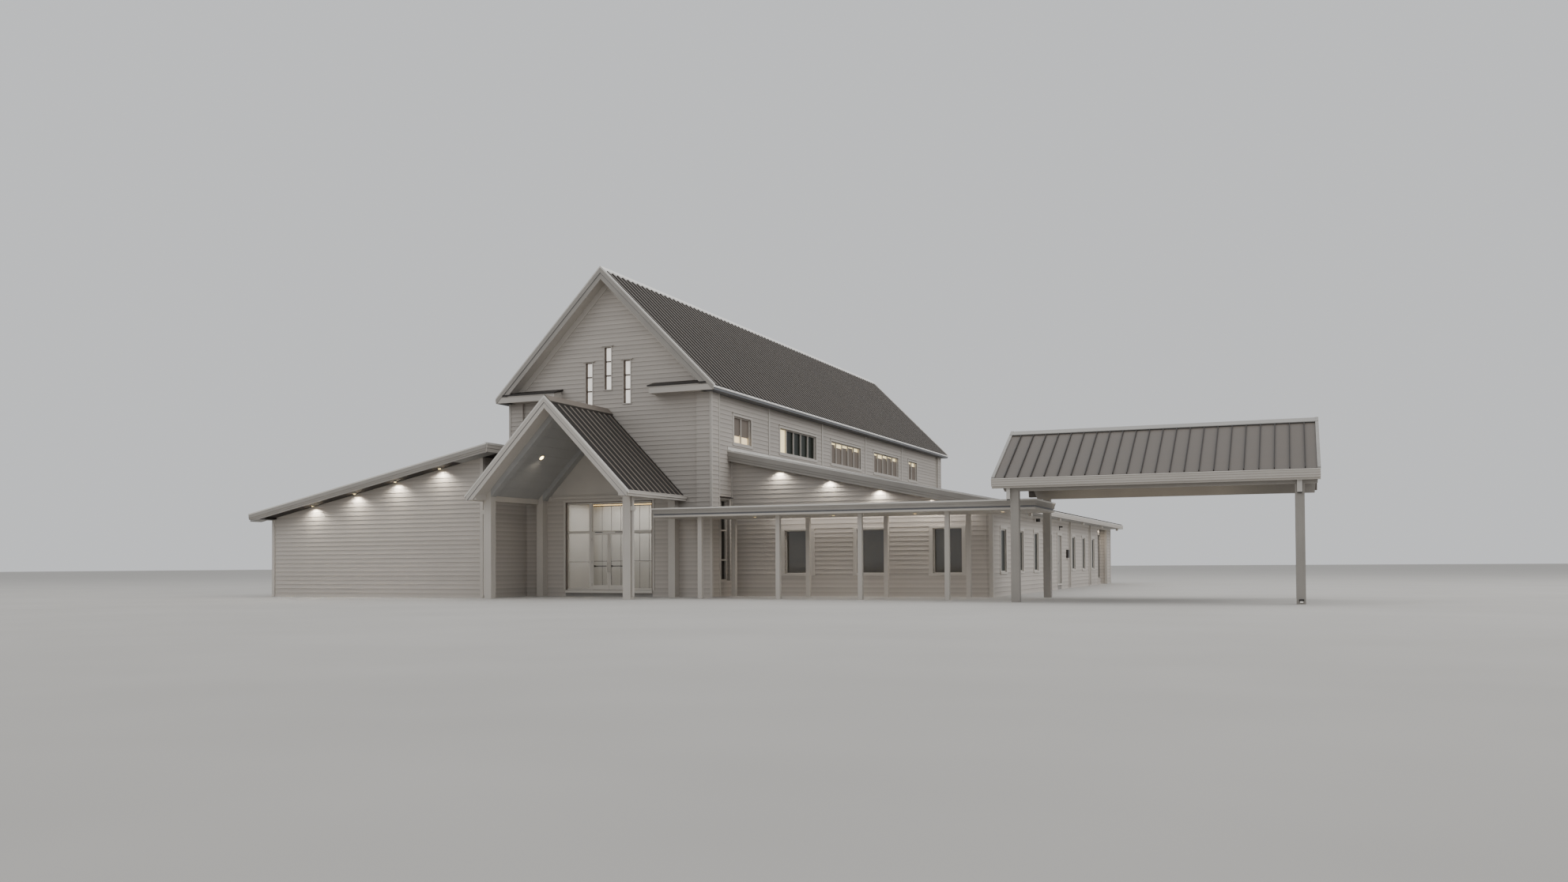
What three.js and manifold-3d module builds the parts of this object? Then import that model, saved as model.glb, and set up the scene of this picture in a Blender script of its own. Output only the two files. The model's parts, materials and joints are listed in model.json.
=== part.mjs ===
// Modern church building: tall gabled nave, two low wings, entrance porch, walkway canopy and carport.
// Lengths are in millimetres of the real building; the finished solids are scaled to a 1:2 model.
// X runs right along the front, Y runs from the front to the back, Z is up from the lowest ground.
import * as THREE from "three";
import { mergeVertices } from "three/addons/utils/BufferGeometryUtils.js";
import Module from "manifold-3d";

const wasm = await Module();
wasm.setup();

// Scale and origin
const MODEL_SCALE = 0.5;
const ORIGIN_Y = 16700;
const SEAT = 0.6;
const CUT_PAST = 50;
const OVERLAP = 10;

// Levels
const FLOOR = 260;
const WALL = 200;
const GLASS = 12;

// Nave
const NAVE_PIER_X = 4700;
const NAVE_WALL_X = 4600;
const PIER_INNER_X = 4060;
const PIER_DEPTH = 710;
const PIER_STEP = 100;
const NAVE_LENGTH = 33400;
const EAVE_X = 5050;
const EAVE_BOTTOM = 8050;
const EAVE_TOP = 8190;
const RIDGE = 13240;
const NAVE_ROOF_DROP = 380;
const BARGE_DROP = 450;
const BARGE_THICK = 40;
const NAVE_OVERHANG = 470;
const RETURN_INNER_X = 2225;
const RETURN_TOP = 8330;
const RETURN_WALL_TOP = 8430;

// Nave windows; those of the clerestory as [centre, width] along the nave
const BAY_LINES = [5860, 12320, 18780, 25240];
const POST = 300;
const POST_TOP = 4500;
const CLERESTORY_BOTTOM = 6230;
const CLERESTORY_TOP = 7330;
const CLERESTORY_WINDOWS = [[3110, 1700], [9310, 4400], [15800, 4400], [22400, 4400], [27490, 1700]];
const TALL_WINDOW = { y0: 770, y1: 1780, z0: 620, z1: 3860 };
const GABLE_WINDOW_WIDTH = 310;
const GABLE_WINDOW_X = 890;
const GABLE_SIDE_WINDOW = [7800, 9540];
const GABLE_MIDDLE_WINDOW = [8400, 10130];

// Entrance
const ENTRANCE_HALF = 2030;
const ENTRANCE_TOP = 3850;
const FRAME_FRONT = 130;
const FRAME_DEPTH = 110;
const FRAME_EDGE = 60;
const DOORWAY_HALF = 815;
const MULLION = 115;
const TRANSOM_BOTTOM = 2590;
const TRANSOM_TOP = 2650;
const SIDELIGHT_SILL = 310;
const DOOR_GAP = 12;
const LEAF_THICK = 45;
const LEAF_RAIL = 60;
const LEAF_BOTTOM_RAIL = 160;
const LEAF_FLOOR_GAP = 20;
const HINGE_LEVELS = [480, 1400, 2320];
const HINGE_HEIGHT = 114;
const HINGE_INSET = 6;

// Porch
const PORCH_FRONT = -4480;
const PORCH_HALF = 3520;
const PORCH_RIDGE = 7500;
const PORCH_EAVE_TOP = 3890;
const PORCH_EAVE_BOTTOM = 3790;
const PORCH_INNER_X = 3120;
const PORCH_RIB_INNER_X = 2915;
const PORCH_ROOF_DROP = 300;
const PORCH_BARGE_DROP = 375;
const PORCH_RIB_DROP = 570;
const PORCH_COLUMN = 300;
const PORCH_COLUMN_X = 3065;
const PORCH_COLUMN_Y = -3620;
const PORCH_BACK_COLUMN_Y = -260;

// Wings
const WING_SLOPE = 0.205;
const WING_ROOF_DROP = 300;
const WING_SOFFIT = 3300;
const WING_BACK = 33300;
const WING_ROOF_BACK = 33930;
const SIDE_WINDOW = { width: 920, z0: 920, z1: 2570 };
const SIDE_WINDOW_FIRST = 3820;
const SIDE_WINDOW_STEP = 3220;
const RIGHT_FRONT = 2000;
const RIGHT_WALL_X = 15300;
const RIGHT_EAVE_X = 15960;
const RIGHT_HIGH_Z = 5830;
const RIGHT_ROOF_FRONT = 1690;
const RIGHT_FRONT_WINDOWS = [7510, 10550, 13590];
const RIGHT_FRONT_WINDOW = { width: 1120, z0: 895, z1: 2600 };
const SIDE_DOOR = { y0: 15390, y1: 16410, top: 2560, face: 15280 };
const RECESS = { y0: 28200, y1: 31690, depth: 350 };
const RECESS_WINDOW = { y0: 28700, y1: 31590, z0: 360, z1: 2900 };
const LEFT_FRONT = -2890;
const LEFT_WALL_X = -14850;
const LEFT_INNER_WALL_X = -3950;
const LEFT_EAVE_X = -15515;
const LEFT_HIGH_X = -3287;
const LEFT_HIGH_Z = 6010;
const LEFT_ROOF_FRONT = -3520;

// Walkway canopy
const CANOPY_LEFT = 3300;
const CANOPY_RIGHT = 17680;
const CANOPY_FRONT = -2100;
const CANOPY_BACK = 1345;
const CANOPY_BOTTOM = 3070;
const CANOPY_TOP = 3390;
const CANOPY_POST = 160;
const CANOPY_POST_X = [5080, 8250, 11420, 14590];
const CANOPY_FRONT_POST_Y = -1730;
const CANOPY_BACK_POST_Y = 1260;
const CANOPY_BEAM_DEPTH = 160;

// Carport
const CARPORT_LEFT = 16640;
const CARPORT_RIGHT = 26360;
const CARPORT_RIDGE_Y = -645;
const CARPORT_RIDGE = 5800;
const CARPORT_SLOPE = 0.583;
const CARPORT_HALF = 3055;
const CARPORT_FASCIA_BOTTOM = 3690;
const CARPORT_ROOF_DROP = 200;
const CARPORT_BEAM_TOP = 3960;
const CARPORT_BEAM_BOTTOM = 3590;
const CARPORT_BEAM_X = [16840, 26340];
const CARPORT_BEAM_FOOT_X = [16990, 26300];
const CARPORT_COLUMN = 256;
const CARPORT_COLUMN_X = [17316, 25815];
const CARPORT_COLUMN_OUT = 2755;
const CARPORT_GABLE_INSET = 60;
const CARPORT_GABLE_THICK = 40;
const CARPORT_BOARD_BOTTOM = 3980;
const CARPORT_BOARD_EMBED = 30;

// Finishes: colour, roughness, metalness
const FINISHES = {
  siding: [0xb5aea5, 0.75, 0.0],
  trim: [0xbab4ab, 0.7, 0.0],
  roof_metal: [0x6b635d, 0.45, 0.6],
  carport_metal: [0x8c867e, 0.45, 0.6],
  frame_metal: [0xaaa69e, 0.35, 0.9],
  window_glass: [0x2b3032, 0.08, 0.0],
  floor_concrete: [0x8f8b86, 0.85, 0.0],
  door_paint: [0xa9a39a, 0.5, 0.0],
};

// Extruded outlines
function extruded(points, depth) {
  const shape = new THREE.Shape(points.map(([a, b]) => new THREE.Vector2(a, b)));
  return new THREE.ExtrudeGeometry(shape, { depth, bevelEnabled: false });
}

function prismAlongX(points, x0, x1) {
  const basis = new THREE.Matrix4().makeBasis(
    new THREE.Vector3(0, 1, 0),
    new THREE.Vector3(0, 0, 1),
    new THREE.Vector3(1, 0, 0),
  );
  const geometry = extruded(points, x1 - x0);
  geometry.applyMatrix4(basis);
  geometry.translate(x0, 0, 0);
  return geometry;
}

function prismAlongY(points, y0, y1) {
  const geometry = extruded(points, y1 - y0);
  geometry.rotateX(Math.PI / 2);
  geometry.translate(0, y1, 0);
  return geometry;
}

function alongX(points, x0, x1, holes = []) {
  const cuts = holes.map((hole) => prismAlongX(hole, x0 - CUT_PAST, x1 + CUT_PAST));
  return joined([prismAlongX(points, x0, x1)], cuts);
}

function alongY(points, y0, y1, holes = []) {
  const cuts = holes.map((hole) => prismAlongY(hole, y0 - CUT_PAST, y1 + CUT_PAST));
  return joined([prismAlongY(points, y0, y1)], cuts);
}

function alongZ(points, z0, z1) {
  const geometry = extruded(points, z1 - z0);
  geometry.translate(0, 0, z0);
  return geometry;
}

function block(x0, x1, y0, y1, z0, z1) {
  const geometry = new THREE.BoxGeometry(x1 - x0, y1 - y0, z1 - z0);
  geometry.translate((x0 + x1) / 2, (y0 + y1) / 2, (z0 + z1) / 2);
  return geometry;
}

function rectangle(a0, a1, b0, b1) {
  return [[a0, b0], [a1, b0], [a1, b1], [a0, b1]];
}

function mirrored(half) {
  const other = half.filter(([a]) => a !== 0).map(([a, b]) => [-a, b]);
  return [...half, ...other.reverse()];
}

// A bent bar from its top edge at the middle, round one side, to its lower edge at the middle
function mirroredRing(half) {
  const side = half.slice(1, -1);
  const other = side.map(([a, b]) => [-a, b]).reverse();
  return [...half, ...other];
}

// Joining and cutting
function solidOf(geometry) {
  const plain = geometry.clone();
  plain.deleteAttribute("normal");
  plain.deleteAttribute("uv");
  const merged = mergeVertices(plain, 0.001);
  const vertProperties = new Float32Array(merged.attributes.position.array);
  const triVerts = new Uint32Array(merged.index.array);
  return new wasm.Manifold(new wasm.Mesh({ numProp: 3, vertProperties, triVerts }));
}

function geometryOf(solid) {
  const mesh = solid.getMesh();
  const geometry = new THREE.BufferGeometry();
  geometry.setAttribute("position", new THREE.BufferAttribute(mesh.vertProperties, 3));
  geometry.setIndex(new THREE.BufferAttribute(mesh.triVerts, 1));
  return geometry;
}

function joined(parts, cuts = []) {
  let solid = solidOf(parts[0]);
  for (const part of parts.slice(1)) {
    solid = solid.add(solidOf(part));
  }
  for (const cutter of cuts) {
    solid = solid.subtract(solidOf(cutter));
  }
  return geometryOf(solid);
}

// Placing a finished piece in the model
const church = new THREE.Group();
church.name = "modern_church_building";

function place(name, finish, geometry) {
  const [color, roughness, metalness] = FINISHES[finish];
  const placed = geometry.clone();
  placed.translate(0, -ORIGIN_Y, 0);
  placed.scale(MODEL_SCALE, MODEL_SCALE, MODEL_SCALE);
  placed.computeVertexNormals();
  const material = new THREE.MeshStandardMaterial({ color, roughness, metalness });
  material.name = finish;
  const mesh = new THREE.Mesh(placed, material);
  mesh.name = name;
  church.add(mesh);
}

// Heights under the sloping roofs
function rightRoofTop(x) {
  return RIGHT_HIGH_Z - WING_SLOPE * (x - NAVE_WALL_X);
}

function rightUnder(x) {
  return rightRoofTop(x) - WING_ROOF_DROP;
}

function leftRoofTop(x) {
  return LEFT_HIGH_Z - WING_SLOPE * (LEFT_HIGH_X - x);
}

function leftUnder(x) {
  return leftRoofTop(x) - WING_ROOF_DROP;
}

// Corner piers of the nave as cutters and as solids
function pierBlock(side, back) {
  const xs = [side * PIER_INNER_X, side * NAVE_PIER_X].sort((a, b) => a - b);
  const y0 = back ? NAVE_LENGTH - PIER_DEPTH : 0;
  return block(xs[0], xs[1], y0, y0 + PIER_DEPTH, 0, EAVE_BOTTOM);
}

// Open bays between the posts, where the nave and the wing are one room, as [start, end]
function openBays(side) {
  const start = side > 0 ? RIGHT_FRONT + WALL : PIER_DEPTH;
  const starts = [start, ...BAY_LINES.map((y) => y + POST / 2)];
  const ends = [...BAY_LINES.map((y) => y - POST / 2), NAVE_LENGTH - PIER_DEPTH];
  return starts.map((y, i) => [y, ends[i]]);
}

function naveSideWall(side) {
  const xs = [side * NAVE_WALL_X, side * (NAVE_WALL_X - WALL)].sort((a, b) => a - b);
  const wallEnd = NAVE_LENGTH - PIER_DEPTH;
  const parts = [
    block(xs[0], xs[1], PIER_DEPTH - OVERLAP, wallEnd + OVERLAP, FLOOR, EAVE_BOTTOM),
    pierBlock(side, false),
    pierBlock(side, true),
  ];
  const through = (y0, y1, z0, z1) => block(xs[0] - CUT_PAST, xs[1] + CUT_PAST, y0, y1, z0, z1);
  const cuts = CLERESTORY_WINDOWS.map(([y, width]) =>
    through(y - width / 2, y + width / 2, CLERESTORY_BOTTOM, CLERESTORY_TOP));
  for (const [y0, y1] of openBays(side)) {
    cuts.push(through(y0, y1, FLOOR - CUT_PAST, POST_TOP));
  }
  if (side > 0) {
    parts.push(block(xs[0], xs[1], PIER_DEPTH - OVERLAP, RIGHT_FRONT + WALL, 0, FLOOR + OVERLAP));
    const tall = TALL_WINDOW;
    cuts.push(through(tall.y0, tall.y1, tall.z0, tall.z1));
  }
  return joined(parts, cuts);
}

function naveSideGlass(side) {
  const inner = side * (NAVE_WALL_X - WALL);
  const xs = [inner, inner - side * GLASS].sort((a, b) => a - b);
  const windows = CLERESTORY_WINDOWS;
  const [firstY, firstWidth] = windows[0];
  const [lastY, lastWidth] = windows[windows.length - 1];
  const y0 = firstY - firstWidth / 2 - 30;
  const y1 = lastY + lastWidth / 2 + 30;
  const z0 = CLERESTORY_BOTTOM - 40;
  const z1 = CLERESTORY_TOP + 40;
  if (side < 0) {
    return alongX(rectangle(y0, y1, z0, z1), xs[0], xs[1]);
  }
  const legY0 = TALL_WINDOW.y0 - 30;
  const legY1 = TALL_WINDOW.y1 + 30;
  const legZ0 = TALL_WINDOW.z0 - 40;
  const points = [[legY0, legZ0], [legY1, legZ0], [legY1, z0], [y1, z0], [y1, z1], [legY0, z1]];
  return alongX(points, xs[0], xs[1]);
}

// Outline of a gable wall from a given level up to the roof
function gableOutline(bottom) {
  const roofX = NAVE_WALL_X - WALL;
  const under = RIDGE - NAVE_ROOF_DROP - SEAT;
  return mirrored([
    [PIER_INNER_X, bottom],
    [PIER_INNER_X, EAVE_BOTTOM],
    [roofX, EAVE_BOTTOM],
    [roofX, under - roofX],
    [0, under],
  ]);
}

function gableWindowHoles() {
  const half = GABLE_WINDOW_WIDTH / 2;
  const [sideZ0, sideZ1] = GABLE_SIDE_WINDOW;
  const [middleZ0, middleZ1] = GABLE_MIDDLE_WINDOW;
  return [
    rectangle(-GABLE_WINDOW_X - half, -GABLE_WINDOW_X + half, sideZ0, sideZ1),
    rectangle(-half, half, middleZ0, middleZ1),
    rectangle(GABLE_WINDOW_X - half, GABLE_WINDOW_X + half, sideZ0, sideZ1),
  ];
}

function naveRoof() {
  const inner = NAVE_WALL_X - WALL;
  const under = RIDGE - NAVE_ROOF_DROP;
  const points = mirroredRing([
    [0, RIDGE],
    [EAVE_X, EAVE_TOP],
    [EAVE_X, EAVE_BOTTOM],
    [inner, EAVE_BOTTOM],
    [inner, under - inner],
    [0, under],
  ]);
  const front = -NAVE_OVERHANG + BARGE_THICK;
  return alongY(points, front, NAVE_LENGTH - front);
}

function naveBarge(front) {
  const inner = NAVE_WALL_X - WALL;
  const under = RIDGE - BARGE_DROP;
  const points = mirroredRing([
    [0, RIDGE],
    [EAVE_X, EAVE_TOP],
    [EAVE_X, EAVE_BOTTOM],
    [inner, EAVE_BOTTOM],
    [inner, under - inner],
    [0, under],
  ]);
  const outer = -NAVE_OVERHANG;
  const boards = alongY(points, outer, outer + BARGE_THICK);
  const returns = [-1, 1].map((side) => {
    const xs = [side * RETURN_INNER_X, side * (inner + OVERLAP)].sort((a, b) => a - b);
    const section = [
      [outer, EAVE_BOTTOM],
      [PIER_STEP, EAVE_BOTTOM],
      [PIER_STEP, RETURN_WALL_TOP],
      [outer, RETURN_TOP],
    ];
    return alongX(section, xs[0], xs[1]);
  });
  const roofEnds = [-1, 1].map((side) => {
    const xs = [side * inner, side * (EAVE_X + 100)].sort((a, b) => a - b);
    return block(xs[0], xs[1], outer + BARGE_THICK, 600, EAVE_BOTTOM - 100, RIDGE);
  });
  const geometry = joined([boards, ...returns], roofEnds);
  return front ? geometry : turnedToBack(geometry);
}

function turnedToBack(geometry) {
  const turned = geometry.clone();
  turned.translate(0, -NAVE_LENGTH / 2, 0);
  turned.rotateZ(Math.PI);
  turned.translate(0, NAVE_LENGTH / 2, 0);
  return turned;
}

function addNave() {
  const front = PIER_STEP;
  const back = NAVE_LENGTH - PIER_STEP;
  for (const [side, word] of [[-1, "left"], [1, "right"]]) {
    const xs = [side * ENTRANCE_HALF, side * PIER_INNER_X].sort((a, b) => a - b);
    place(`nave_front_wall_${word}`, "siding", block(xs[0], xs[1], front, front + WALL, 0, ENTRANCE_TOP));
    place(`nave_${word}_wall`, "siding", naveSideWall(side));
    place(`nave_${word}_window_glass`, "window_glass", naveSideGlass(side));
  }
  const gable = alongY(gableOutline(ENTRANCE_TOP), front, front + WALL, gableWindowHoles());
  place("nave_front_gable_wall", "siding", gable);
  const sheet = GABLE_WINDOW_X + GABLE_WINDOW_WIDTH / 2 + 30;
  const z0 = GABLE_SIDE_WINDOW[0] - 40;
  const z1 = GABLE_MIDDLE_WINDOW[1] + 40;
  place("gable_window_glass", "window_glass", block(-sheet, sheet, front + WALL, front + WALL + GLASS, z0, z1));
  place("nave_back_wall", "siding", alongY(gableOutline(0), back - WALL, back));
  place("nave_roof", "roof_metal", naveRoof());
  place("nave_front_bargeboard", "trim", naveBarge(true));
  place("nave_back_bargeboard", "trim", naveBarge(false));
}

// One slab under the whole building, notched round the piers and the recess
function addFloor() {
  const back = WING_BACK - WALL;
  const pierBack = NAVE_LENGTH - PIER_DEPTH;
  const wallInner = NAVE_WALL_X - WALL;
  const leftX = LEFT_WALL_X + WALL;
  const rightX = RIGHT_WALL_X - WALL;
  const recessX = RIGHT_WALL_X - RECESS.depth - WALL;
  const points = [
    [leftX, LEFT_FRONT + WALL],
    [LEFT_INNER_WALL_X - WALL, LEFT_FRONT + WALL],
    [LEFT_INNER_WALL_X - WALL, 0],
    [-NAVE_PIER_X, 0],
    [-NAVE_PIER_X, PIER_DEPTH],
    [-PIER_INNER_X, PIER_DEPTH],
    [-PIER_INNER_X, PIER_STEP + WALL],
    [-ENTRANCE_HALF, PIER_STEP + WALL],
    [-ENTRANCE_HALF, PIER_STEP],
    [ENTRANCE_HALF, PIER_STEP],
    [ENTRANCE_HALF, PIER_STEP + WALL],
    [PIER_INNER_X, PIER_STEP + WALL],
    [PIER_INNER_X, PIER_DEPTH],
    [wallInner, PIER_DEPTH],
    [wallInner, RIGHT_FRONT + WALL],
    [rightX, RIGHT_FRONT + WALL],
    [rightX, SIDE_DOOR.y0],
    [RIGHT_WALL_X, SIDE_DOOR.y0],
    [RIGHT_WALL_X, SIDE_DOOR.y1],
    [rightX, SIDE_DOOR.y1],
    [rightX, RECESS.y0 - WALL],
    [recessX, RECESS.y0 - WALL],
    [recessX, RECESS.y1 + WALL],
    [rightX, RECESS.y1 + WALL],
    [rightX, back],
    [NAVE_PIER_X, back],
    [NAVE_PIER_X, pierBack],
    [PIER_INNER_X, pierBack],
    [PIER_INNER_X, back],
    [-PIER_INNER_X, back],
    [-PIER_INNER_X, pierBack],
    [-NAVE_PIER_X, pierBack],
    [-NAVE_PIER_X, back],
    [leftX, back],
  ];
  place("floor", "floor_concrete", alongZ(points, 0, FLOOR));
}

// Entrance: fixed frame, glass behind it and two glazed leaves
function entranceFrame() {
  const top = ENTRANCE_TOP - FRAME_EDGE;
  const mullionOut = DOORWAY_HALF + MULLION;
  const glassEdge = ENTRANCE_HALF - FRAME_EDGE;
  const points = [
    [-ENTRANCE_HALF, FLOOR],
    [-DOORWAY_HALF, FLOOR],
    [-DOORWAY_HALF, TRANSOM_BOTTOM],
    [DOORWAY_HALF, TRANSOM_BOTTOM],
    [DOORWAY_HALF, FLOOR],
    [ENTRANCE_HALF, FLOOR],
    [ENTRANCE_HALF, ENTRANCE_TOP],
    [-ENTRANCE_HALF, ENTRANCE_TOP],
  ];
  const holes = [rectangle(-DOORWAY_HALF, DOORWAY_HALF, TRANSOM_TOP, top)];
  for (const side of [-1, 1]) {
    const [a, b] = [side * mullionOut, side * glassEdge].sort((p, q) => p - q);
    holes.push(rectangle(a, b, SIDELIGHT_SILL, TRANSOM_BOTTOM));
    holes.push(rectangle(a, b, TRANSOM_TOP, top));
  }
  const frame = alongY(points, FRAME_FRONT, FRAME_FRONT + FRAME_DEPTH, holes);
  const y0 = FRAME_FRONT + HINGE_INSET;
  const y1 = FRAME_FRONT + LEAF_THICK - HINGE_INSET;
  const left = hingePlates((z0, z1) =>
    block(-DOORWAY_HALF - OVERLAP, -DOORWAY_HALF + DOOR_GAP - SEAT, y0, y1, z0, z1));
  const right = hingePlates((z0, z1) =>
    block(DOORWAY_HALF - DOOR_GAP + SEAT, DOORWAY_HALF + OVERLAP, y0, y1, z0, z1));
  return joined([frame, ...left, ...right]);
}

// Hinge plates that fill the gap between a leaf and its jamb
function hingePlates(plate) {
  return HINGE_LEVELS.map((z) => plate(z - HINGE_HEIGHT / 2, z + HINGE_HEIGHT / 2));
}

function entranceGlass() {
  const edge = ENTRANCE_HALF - FRAME_EDGE / 2;
  const doorEdge = DOORWAY_HALF + MULLION / 2;
  const doorTop = (TRANSOM_BOTTOM + TRANSOM_TOP) / 2;
  const bottom = SIDELIGHT_SILL - 20;
  const top = ENTRANCE_TOP - FRAME_EDGE / 2;
  const points = [
    [-edge, bottom],
    [-doorEdge, bottom],
    [-doorEdge, doorTop],
    [doorEdge, doorTop],
    [doorEdge, bottom],
    [edge, bottom],
    [edge, top],
    [-edge, top],
  ];
  const back = FRAME_FRONT + FRAME_DEPTH;
  return alongY(points, back, back + GLASS);
}

function addEntrance() {
  place("entrance_frame", "frame_metal", entranceFrame());
  place("entrance_glass", "window_glass", entranceGlass());
  const z0 = FLOOR + LEAF_FLOOR_GAP;
  const z1 = TRANSOM_BOTTOM - DOOR_GAP;
  for (const [side, word] of [[-1, "left"], [1, "right"]]) {
    const hinge = side * (DOORWAY_HALF - DOOR_GAP);
    const meeting = side * DOOR_GAP / 2;
    const [a, b] = [hinge, meeting].sort((p, q) => p - q);
    const pane = rectangle(a + LEAF_RAIL, b - LEAF_RAIL, z0 + LEAF_BOTTOM_RAIL, z1 - LEAF_RAIL);
    const leaf = alongY(rectangle(a, b, z0, z1), FRAME_FRONT, FRAME_FRONT + LEAF_THICK, [pane]);
    place(`entrance_door_${word}`, "frame_metal", leaf);
    const middle = FRAME_FRONT + LEAF_THICK / 2;
    const glass = alongY(pane, middle - GLASS / 2, middle + GLASS / 2);
    place(`entrance_door_glass_${word}`, "window_glass", glass);
  }
}

// Porch: steep gabled roof with a rib at each end, on four columns
function porchSlope() {
  return (PORCH_RIDGE - PORCH_EAVE_TOP) / PORCH_HALF;
}

function porchRing(drop, innerX) {
  return mirroredRing([
    [0, PORCH_RIDGE],
    [PORCH_HALF, PORCH_EAVE_TOP],
    [PORCH_HALF, PORCH_EAVE_BOTTOM],
    [innerX, PORCH_EAVE_BOTTOM],
    [innerX, PORCH_RIDGE - drop - porchSlope() * innerX],
    [0, PORCH_RIDGE - drop],
  ]);
}

function porchRoof() {
  const front = PORCH_FRONT + BARGE_THICK;
  const roof = alongY(porchRing(PORCH_ROOF_DROP, PORCH_INNER_X), front, PIER_STEP - SEAT);
  const ribs = [
    [PORCH_COLUMN_Y - PORCH_COLUMN / 2, PORCH_COLUMN_Y + PORCH_COLUMN / 2],
    [PORCH_BACK_COLUMN_Y, PIER_STEP - SEAT],
  ].map(([y0, y1]) => alongY(porchRing(PORCH_RIB_DROP, PORCH_RIB_INNER_X), y0, y1));
  return joined([roof, ...ribs]);
}

function porchBarge() {
  const meet = (PORCH_RIDGE - PORCH_BARGE_DROP - PORCH_EAVE_BOTTOM) / porchSlope();
  const points = mirroredRing([
    [0, PORCH_RIDGE],
    [PORCH_HALF, PORCH_EAVE_TOP],
    [PORCH_HALF, PORCH_EAVE_BOTTOM],
    [meet, PORCH_EAVE_BOTTOM],
    [0, PORCH_RIDGE - PORCH_BARGE_DROP],
  ]);
  return alongY(points, PORCH_FRONT, PORCH_FRONT + BARGE_THICK);
}

function addPorch() {
  place("porch_roof", "trim", porchRoof());
  place("porch_bargeboard", "trim", porchBarge());
  const half = PORCH_COLUMN / 2;
  const rows = [
    ["front", PORCH_COLUMN_Y - half, PORCH_COLUMN_Y + half],
    ["back", PORCH_BACK_COLUMN_Y, PIER_STEP],
  ];
  for (const [row, y0, y1] of rows) {
    for (const [side, word] of [[-1, "left"], [1, "right"]]) {
      const x = side * PORCH_COLUMN_X;
      place(`porch_${row}_column_${word}`, "trim", block(x - half, x + half, y0, y1, 0, PORCH_EAVE_BOTTOM));
    }
  }
}

// Window centres along the side of a wing
function sideWindows(first, last) {
  const centres = [];
  for (let i = first; i <= last; i += 1) {
    centres.push(SIDE_WINDOW_FIRST + i * SIDE_WINDOW_STEP);
  }
  return centres;
}

function sideWindowHoles(centres) {
  const half = SIDE_WINDOW.width / 2;
  return centres.map((y) => rectangle(y - half, y + half, SIDE_WINDOW.z0, SIDE_WINDOW.z1));
}

function sideGlass(centres, x0) {
  const reach = SIDE_WINDOW.width / 2 + 30;
  const y0 = centres[0] - reach;
  const y1 = centres[centres.length - 1] + reach;
  return block(x0, x0 + GLASS, y0, y1, SIDE_WINDOW.z0 - 30, SIDE_WINDOW.z1 + 30);
}

// Right wing
function rightSection(x0, top) {
  const inner = RIGHT_WALL_X - WALL;
  return [
    [x0, 0],
    [RIGHT_WALL_X, 0],
    [RIGHT_WALL_X, WING_SOFFIT],
    [inner, WING_SOFFIT],
    [inner, rightUnder(inner) - SEAT],
    [x0, top - SEAT],
  ];
}

function rightFrontWall() {
  const inner = RIGHT_WALL_X - WALL;
  const half = RIGHT_FRONT_WINDOW.width / 2;
  const holes = RIGHT_FRONT_WINDOWS.map((x) =>
    rectangle(x - half, x + half, RIGHT_FRONT_WINDOW.z0, RIGHT_FRONT_WINDOW.z1));
  const points = [
    [NAVE_WALL_X, 0],
    [inner, 0],
    [inner, rightUnder(inner) - SEAT],
    [NAVE_WALL_X, rightUnder(NAVE_WALL_X) - SEAT],
  ];
  return alongY(points, RIGHT_FRONT, RIGHT_FRONT + WALL, holes);
}

function rightSideWallBack() {
  const inner = RIGHT_WALL_X - WALL;
  const recessOuter = RIGHT_WALL_X - RECESS.depth;
  const recessInner = recessOuter - WALL;
  const near = RECESS.y0 - WALL;
  const far = RECESS.y1 + WALL;
  const long = alongX(
    rectangle(SIDE_DOOR.y1, near + OVERLAP, 0, WING_SOFFIT),
    inner,
    RIGHT_WALL_X,
    sideWindowHoles(sideWindows(5, 7)),
  );
  const jambs = [[near, RECESS.y0], [RECESS.y1, far]].map(([y0, y1]) =>
    alongY(rightSection(recessInner, rightUnder(recessInner)), y0, y1));
  const end = block(inner, RIGHT_WALL_X, far - OVERLAP, WING_BACK - WALL, 0, WING_SOFFIT);
  const recessWall = alongY([
    [recessInner, 0],
    [recessOuter, 0],
    [recessOuter, rightUnder(recessOuter) - SEAT],
    [recessInner, rightUnder(recessInner) - SEAT],
  ], near + OVERLAP, far - OVERLAP);
  const glazed = RECESS_WINDOW;
  const cut = block(recessInner - CUT_PAST, recessOuter + CUT_PAST, glazed.y0, glazed.y1, glazed.z0, glazed.z1);
  const door = SIDE_DOOR;
  const hinges = hingePlates((z0, z1) =>
    block(door.face - LEAF_THICK + HINGE_INSET, door.face - HINGE_INSET,
      door.y1 - DOOR_GAP + SEAT, door.y1 + OVERLAP, z0, z1));
  return joined([long, ...jambs, end, recessWall, ...hinges], [cut]);
}

function rightRoof() {
  const inner = RIGHT_WALL_X - WALL;
  const points = [
    [NAVE_WALL_X, RIGHT_HIGH_Z],
    [NAVE_WALL_X, rightUnder(NAVE_WALL_X)],
    [inner, rightUnder(inner)],
    [inner, WING_SOFFIT],
    [RIGHT_EAVE_X, WING_SOFFIT],
    [RIGHT_EAVE_X, rightRoofTop(RIGHT_EAVE_X)],
  ];
  return joined([alongY(points, RIGHT_ROOF_FRONT, WING_ROOF_BACK)], [pierBlock(1, true)]);
}

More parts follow.
